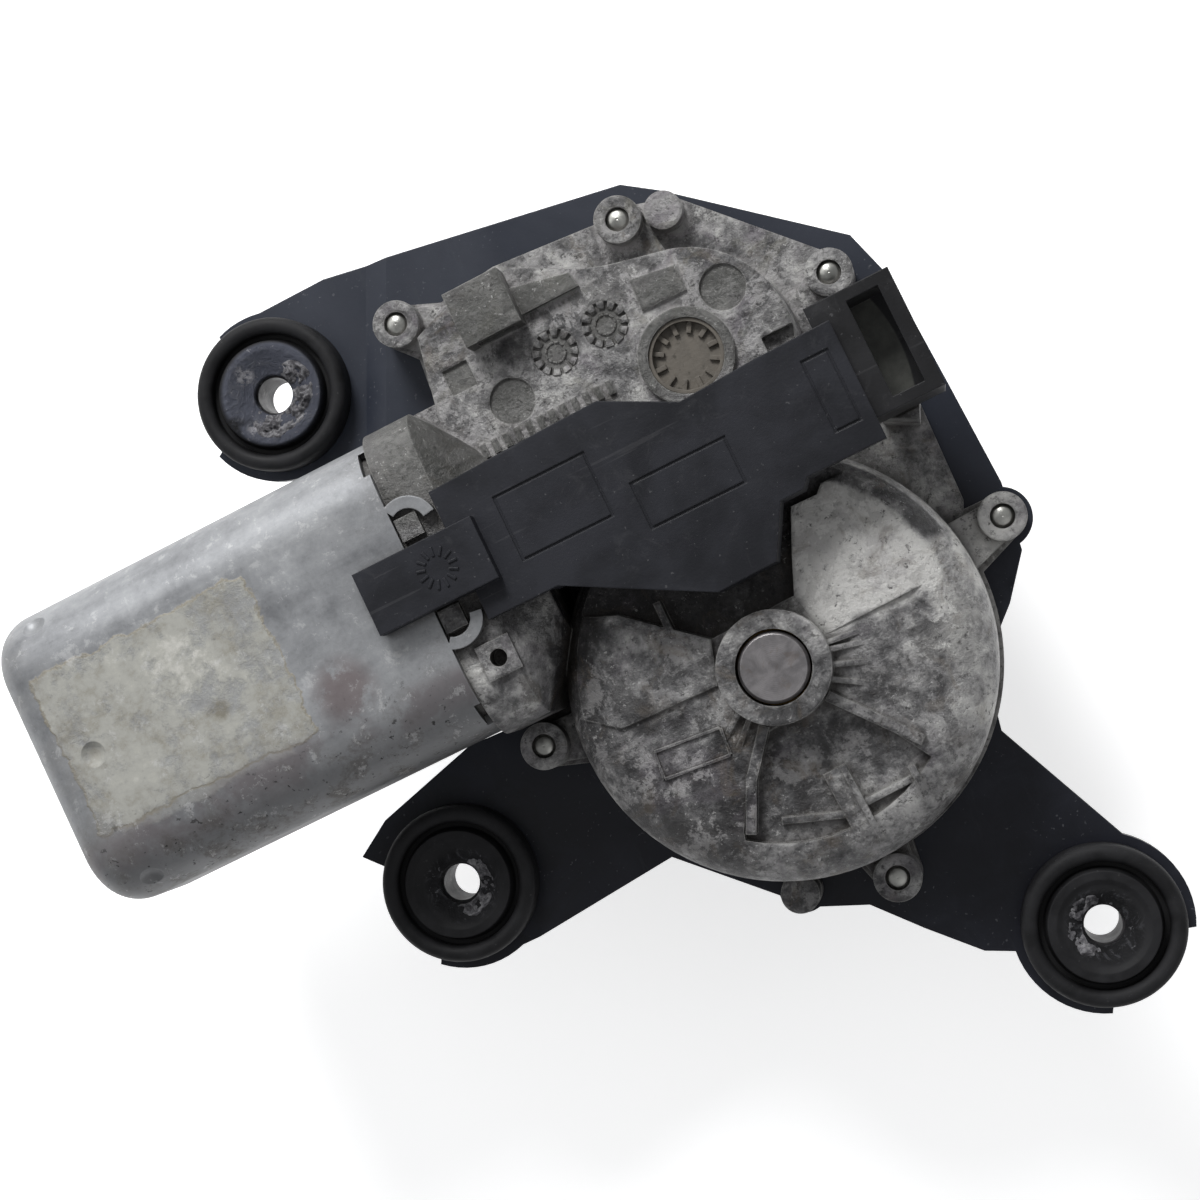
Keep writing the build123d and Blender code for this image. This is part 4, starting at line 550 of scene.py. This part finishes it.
materials = {
    "cast_aluminium": cast_aluminium(),
    "zinc_sheet": zinc_sheet(),
    "black_sheet": black_sheet(),
    "steel": turned_steel("steel", (0.33, 0.315, 0.32), 0.36, 0.5),
    "zinc_screw": plain_metal("zinc_screw", (0.50, 0.50, 0.47), 0.38),
    "black_rubber": grommet_rubber(),
    "gasket_rubber": plain_solid("gasket_rubber", (0.03, 0.03, 0.034), 0.7),
    "cover_plastic": black_plastic("cover_plastic", (0.0134, 0.0142, 0.0188), 0.035, 0.12),
    "carrier_plastic": black_plastic(
        "carrier_plastic", (0.012, 0.012, 0.0135), 0.025, 0.12, ((12.4, 39.7), 29.6, 24.5)
    ),
    "pin_tin": plain_metal("pin_tin", (0.62, 0.61, 0.57), 0.25),
    "copper": plain_metal("copper", (0.62, 0.27, 0.13), 0.32),
    "sintered_bronze": plain_metal("sintered_bronze", (0.42, 0.27, 0.11), 0.5),
    "spring_steel": plain_metal("spring_steel", (0.24, 0.24, 0.25), 0.35),
    "ferrite": plain_solid("ferrite", (0.05, 0.05, 0.055), 0.6, 3.0),
    "carbon": plain_solid("carbon", (0.03, 0.03, 0.032), 0.55, 2.0),
    "board_green": plain_solid("board_green", (0.018, 0.09, 0.035), 0.35, 5.0),
    "relay_black": plain_solid("relay_black", (0.015, 0.015, 0.018), 0.35, 6.0),
    "capacitor_sleeve": plain_solid("capacitor_sleeve", (0.012, 0.025, 0.10), 0.3, 4.0),
    "vent_membrane": plain_solid(
        "vent_membrane", (0.135, 0.12, 0.10), 0.6, 3.0, (0.035, 0.03, 0.022), 0.75, bump_depth=0.08
    ),
    "wheel_plastic": plain_solid("wheel_plastic", (0.62, 0.57, 0.42), 0.4, 6.0, (0.35, 0.28, 0.14), 0.25),
    "seal_rubber": plain_solid("seal_rubber", (0.02, 0.02, 0.022), 0.6, 3.0),
    "lamination_steel": plain_metal("lamination_steel", (0.17, 0.17, 0.18), 0.45),
    "enamel_copper": plain_metal("enamel_copper", (0.40, 0.13, 0.05), 0.35, 1.5),
    "sensor_magnet": plain_solid("sensor_magnet", (0.04, 0.036, 0.036), 0.5, 2.0),
}
slot_of = {entry["node"]: entry["material_slot"] for entry in frame["record"]["subparts"]}
sleeve_finish = greasy_sleeve()
for name, node in nodes.items():
    node.data.materials.clear()
    finish = sleeve_finish if name.endswith("_sleeve") else materials[slot_of[name]]
    node.data.materials.append(finish)


# ------------------------------------------------------------------ mesh helpers
def piece(name, mesh, slot, body="housing", smooth=True, material=None):
    """Object of its own that rides on a body and takes a slot's finish."""
    thing = bpy.data.objects.new(name, mesh)
    bpy.context.scene.collection.objects.link(thing)
    mesh.materials.append(material or materials[slot])
    if smooth:
        mesh.shade_smooth()
    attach(thing, body)
    return thing


def lathe(profile, centre, turns, name):
    """Closed round mesh of a closed profile of (radius, level) points in millimetres."""
    mesh = bpy.data.meshes.new(name)
    shape = bmesh.new()
    rings = []
    for step in range(turns):
        angle = 2 * math.pi * step / turns
        ring = []
        for radius, level in profile:
            x = (centre[0] + radius * math.cos(angle)) * MM
            y = (centre[1] + radius * math.sin(angle)) * MM
            ring.append(shape.verts.new((x, y, (centre[2] + level) * MM)))
        rings.append(ring)
    count = len(profile)
    for step in range(turns):
        here, there = rings[step], rings[(step + 1) % turns]
        for i in range(count):
            j = (i + 1) % count
            shape.faces.new((here[i], there[i], there[j], here[j]))
    bmesh.ops.recalc_face_normals(shape, faces=shape.faces)
    shape.to_mesh(mesh)
    shape.free()
    return mesh


def upper_faces(node_name):
    """Search tree of a CAD node's faces."""
    data = nodes[node_name].data
    points = [vertex.co.copy() for vertex in data.vertices]
    return BVHTree.FromPolygons(points, [tuple(face.vertices) for face in data.polygons])


def surface_level(tree, x, y):
    """Height of the upper face under a plan point; all in millimetres."""
    hit = tree.ray_cast(Vector((x * MM, y * MM, 0.1)), Vector((0, 0, -1)))[0]
    return hit.z / MM


def emboss(shape, tree, outline, height, taper=0.12, root=0.25):
    """Raises a closed plan outline from the surface that carries it."""
    middle = Vector((sum(x for x, y in outline), sum(y for x, y in outline))) / len(outline)
    lower, upper = [], []
    for x, y in outline:
        level = surface_level(tree, x, y)
        inward = middle - Vector((x, y))
        inward = inward.normalized() * min(taper, inward.length / 2)
        lower.append(shape.verts.new((x * MM, y * MM, (level - root) * MM)))
        upper.append(shape.verts.new(((x + inward.x) * MM, (y + inward.y) * MM, (level + height) * MM)))
    count = len(outline)
    for i in range(count):
        j = (i + 1) % count
        shape.faces.new((lower[i], lower[j], upper[j], upper[i]))
    shape.faces.new(upper)
    shape.faces.new(list(reversed(lower)))


def bar(start, end, width, steps=1):
    """Plan outline of a straight bar, with points along its sides."""
    start, end = Vector(start), Vector(end)
    side = (end - start).normalized() * width / 2
    side = Vector((-side.y, side.x))
    walk = [start.lerp(end, i / steps) for i in range(steps + 1)]
    return [tuple(point - side) for point in walk] + [tuple(point + side) for point in reversed(walk)]


def raised_piece(name, node_name, outlines, height, slot, taper=0.12):
    """One piece made of several outlines raised from a node's upper face."""
    tree = upper_faces(node_name)
    shape = bmesh.new()
    for outline in outlines:
        emboss(shape, tree, outline, height, taper)
    bmesh.ops.triangulate(shape, faces=[face for face in shape.faces if len(face.verts) > 4])
    bmesh.ops.recalc_face_normals(shape, faces=shape.faces)
    mesh = bpy.data.meshes.new(name)
    shape.to_mesh(mesh)
    shape.free()
    return piece(name, mesh, slot, smooth=False)


def wedge(centre, inner, outer, middle, half):
    """Plan outline of a ring's sector; angles in degrees."""
    outline = []
    for radius, sides in ((inner, (-1, 1)), (outer, (1, 0, -1))):
        for side in sides:
            angle = math.radians(middle + side * half)
            outline.append((centre[0] + radius * math.cos(angle), centre[1] + radius * math.sin(angle)))
    outline.reverse()
    return outline


# ------------------------------------------------------------------ fine details in the mesh
# two date dials of the casting, bare: twelve sectors round a small ring
months = 12
month_angle = 360 // months
dial_height = 0.28
for number, centre in enumerate(((-10.6, 64.5), (-0.9, 64.9)), start=1):
    sectors = [wedge(centre, 2.55, 4.05, month_angle * i + 9 * number, 11.0) for i in range(months)]
    sectors += [wedge(centre, 1.55, 1.95, month_angle * i, 15.2) for i in range(months)]
    raised_piece(f"date_dial_{number}", "gear_housing", sectors, dial_height, "cast_aluminium")

# bare frame of the small plate on the dome
plate_middle = Vector((-19.0, -7.0))
plate_turn = math.radians(-5.0)
plate_half_length = 6.0
plate_half_width = 2.45
frame_width = 0.55
frame_height = 0.42
along = Vector((math.cos(plate_turn), math.sin(plate_turn)))
aside = Vector((-along.y, along.x))
plate_corners = [
    plate_middle + along * plate_half_length * i + aside * plate_half_width * j
    for i, j in ((-1, -1), (1, -1), (1, 1), (-1, 1))
]
frame_bars = [bar(plate_corners[i], plate_corners[(i + 1) % 4], frame_width, 10) for i in range(4)]
raised_piece("dome_plate", "gear_housing", frame_bars, frame_height, "cast_aluminium", 0.1)

# bare sun mark on the cover's tongue
sun_centre = Vector((-42.0, 38.7))
ray_count = 13
ray_start, ray_end, ray_width, ray_height = 1.9, 3.7, 0.5, 0.22
rays = []
for i in range(ray_count):
    ray_angle = 2 * math.pi * i / ray_count
    direction = Vector((math.cos(ray_angle), math.sin(ray_angle)))
    rays.append(bar(sun_centre + ray_start * direction, sun_centre + ray_end * direction, ray_width))
raised_piece("cover_sun_mark", "terminal_cover", rays, ray_height, "cover_plastic")

# grease that has dried in folds round the bores of the grommets
grease_start = 3.82  # radius just outside the mouth of the rubber's bore
grease_least = 3.95  # outer radius where the grease thins out
grease_skin = 0.3  # thickness of the closed skin
grease_rows, grease_turns = 26, 120


def close_skin(shape, upper, lower):
    """Faces of a closed skin between two grids of vertices, made in a fixed order."""
    rows, steps = len(upper) - 1, len(upper[0]) - 1
    for grid in (upper, lower):
        for near, far in zip(grid, grid[1:]):
            for step in range(steps):
                shape.faces.new((near[step], far[step], far[step + 1], near[step + 1]))
    border = [(0, step) for step in range(steps)]
    border += [(row, steps) for row in range(rows)]
    border += [(rows, step) for step in range(steps, 0, -1)]
    border += [(row, 0) for row in range(rows, 0, -1)]
    for (row, step), (next_row, next_step) in zip(border, border[1:] + border[:1]):
        shape.faces.new(
            (upper[next_row][next_step], lower[next_row][next_step], lower[row][step], upper[row][step])
        )


def grease_mesh(name, centre, reach, first, last, depth):
    """Closed skin of folded grease on a grommet, between two angles in degrees."""
    tree = upper_faces(f"{name}_grommet")
    shape = bmesh.new()
    upper, lower = [], []
    for row in range(grease_rows + 1):
        outward = row / grease_rows
        crest, sole = [], []
        for step in range(grease_turns + 1):
            share = step / grease_turns
            angle = math.radians(first + (last - first) * share)
            ends = min(1.0, 4.5 * share, 4.5 * (1.0 - share))
            rim = Vector((3.0 * math.cos(angle), 3.0 * math.sin(angle), depth))
            ragged = 0.5 + 0.5 * noise.noise(rim)
            outer = grease_least + (reach - grease_least) * ends ** 0.5 * (0.62 + 0.38 * ragged)
            radius = grease_start + (outer - grease_start) * row / grease_rows
            x, y = centre[0] + radius * math.cos(angle), centre[1] + radius * math.sin(angle)
            swell = math.sin(math.pi * min(1.0, 0.12 + 0.88 * outward)) ** 0.7 * ends
            folds = noise.turbulence(Vector((x, y, 0.0)) * 0.42, 4, False, noise_basis="PERLIN_ORIGINAL")
            height = -0.12 + depth * swell * (0.25 + 0.9 * folds)
            level = surface_level(tree, x, y) + height
            crest.append(shape.verts.new((x * MM, y * MM, level * MM)))
            sole.append(shape.verts.new((x * MM, y * MM, (level - grease_skin) * MM)))
        upper.append(crest)
        lower.append(sole)
    close_skin(shape, upper, lower)
    bmesh.ops.recalc_face_normals(shape, faces=shape.faces)
    mesh = bpy.data.meshes.new(f"{name}_grease")
    shape.to_mesh(mesh)
    shape.free()
    return mesh


grease = dried_grease()
for name, centre, reach, first, last, depth in (
    ("upper", (-63.3, 85.2), 9.2, -165, 60, 2.4),
    ("lower", (-70.2, -10.2), 7.0, -130, 60, 1.1),
    ("right", (29.6, -64.4), 6.8, 60, 250, 1.1),
):
    mesh = grease_mesh(name, centre, reach, first, last, depth)
    piece(f"{name}_grease", mesh, "black_rubber", material=grease)

# rounded points of the six housing screws
screw_tree = upper_faces("housing_screws")
point_turns = 28
point_profile = [
    (0.02, -0.4),
    (1.75, -0.4),
    (1.75, -0.02),
    (1.5, 0.2),
    (0.9, 0.42),
    (0.3, 0.52),
    (0.02, 0.54),
]
for number, (x, y) in enumerate(screw_places, start=1):
    level = surface_level(screw_tree, x, y)
    mesh = lathe(point_profile, (x, y, level), point_turns, f"screw_point_{number}")
    piece(f"screw_point_{number}", mesh, "zinc_screw")


# ------------------------------------------------------------------ camera, light and floor
picture_turn = math.radians(26.0)  # about Z
picture_tilt = math.radians(9.0)  # about the picture's vertical
picture_pixels = 1200.0
focus_pixels = 2191.0
sensor_width = 36.0
camera_distance_m = 0.3834
across = Vector((math.cos(picture_turn), -math.sin(picture_turn), 0.0))
upward = Vector((math.sin(picture_turn), math.cos(picture_turn), 0.0))
back = math.sin(picture_tilt) * across + math.cos(picture_tilt) * Vector((0, 0, 1))
right = math.cos(picture_tilt) * across - math.sin(picture_tilt) * Vector((0, 0, 1))
target = Vector((-23.766, 23.920, 13.0)) * MM
eye = target + camera_distance_m * back
camera_data = bpy.data.cameras.new("camera")
camera_data.sensor_width = sensor_width
camera_data.lens = sensor_width * focus_pixels / picture_pixels
camera_data.clip_start = 0.01
camera = bpy.data.objects.new("camera", camera_data)
camera.matrix_world = Matrix(
    (
        (right.x, upward.x, back.x, eye.x),
        (right.y, upward.y, back.y, eye.y),
        (right.z, upward.z, back.z, eye.z),
        (0, 0, 0, 1),
    )
)
bpy.context.scene.collection.objects.link(camera)
bpy.context.scene.camera = camera


lamp_aim = Vector((0.0, 0.02, 0.01))  # metres


def lamp(name, place, size, power):
    """Round area lamp aimed at the part; place and size in metres, power in watts."""
    data = bpy.data.lights.new(name, "AREA")
    data.shape = "DISK"
    data.size = size
    data.energy = power
    thing = bpy.data.objects.new(name, data)
    thing.location = place
    thing.rotation_mode = "QUATERNION"
    thing.rotation_quaternion = (place - lamp_aim).to_track_quat("Z", "Y")
    bpy.context.scene.collection.objects.link(thing)


lamp("key", 0.72 * upward - 0.32 * across + Vector((0, 0, 0.60)), 0.36, 8.2)
lamp("fill", -0.5 * upward + 0.5 * across + Vector((0, 0, 0.7)), 0.8, 0.7)
lamp("rim", -0.6 * across + 0.2 * upward + Vector((0, 0, 0.45)), 0.5, 0.8)


def seen_directly(tree):
    """1 for camera, glossy and transmission rays, 0 for the light that falls on the part."""
    path = tree.nodes.new("ShaderNodeLightPath")
    result = path.outputs["Is Camera Ray"]
    for other in ("Is Glossy Ray", "Is Transmission Ray"):
        larger = tree.nodes.new("ShaderNodeMath")
        larger.operation = "MAXIMUM"
        tree.links.new(result, larger.inputs[0])
        tree.links.new(path.outputs[other], larger.inputs[1])
        result = larger.outputs[0]
    return result


# one strength for every ray: the picture's white background is the floor
sky_strength = 0.30
world = bpy.data.worlds.new("studio")
bpy.context.scene.world = world
world.use_nodes = True
tree = world.node_tree
tree.nodes.clear()
sky = tree.nodes.new("ShaderNodeBackground")
sky.inputs["Color"].default_value = (0.97, 0.98, 1.0, 1.0)
sky.inputs["Strength"].default_value = sky_strength
world_out = tree.nodes.new("ShaderNodeOutputWorld")
tree.links.new(sky.outputs[0], world_out.inputs[0])

floor_glow = 0.58
floor_mesh = bpy.data.meshes.new("floor")
floor_reach_m = 3.0
floor_gap_m = 0.0002
floor_level = cad_box[0].z - floor_gap_m
floor_corners = [(i * floor_reach_m, j * floor_reach_m) for i, j in ((-1, -1), (1, -1), (1, 1), (-1, 1))]
floor_mesh.from_pydata([(x, y, floor_level) for x, y in floor_corners], [], [(0, 1, 2, 3)])
floor = bpy.data.objects.new("floor", floor_mesh)
bpy.context.scene.collection.objects.link(floor)
floor_paint = Paint("floor", roughness=0.9, specular=0.2)
floor_tone = floor_paint.mix(floor_paint.noise(300, 2, 0.5), (0.90, 0.90, 0.90), (0.93, 0.93, 0.93))
floor_paint.shader.inputs["Emission Color"].default_value = (1.0, 1.0, 1.0, 1.0)
glow = floor_paint.times(seen_directly(floor_paint.tree), floor_glow)
floor_paint.link(glow, floor_paint.shader.inputs["Emission Strength"])
floor_mesh.materials.append(floor_paint.finish(floor_tone))
bpy.context.scene.view_settings.view_transform = "Standard"
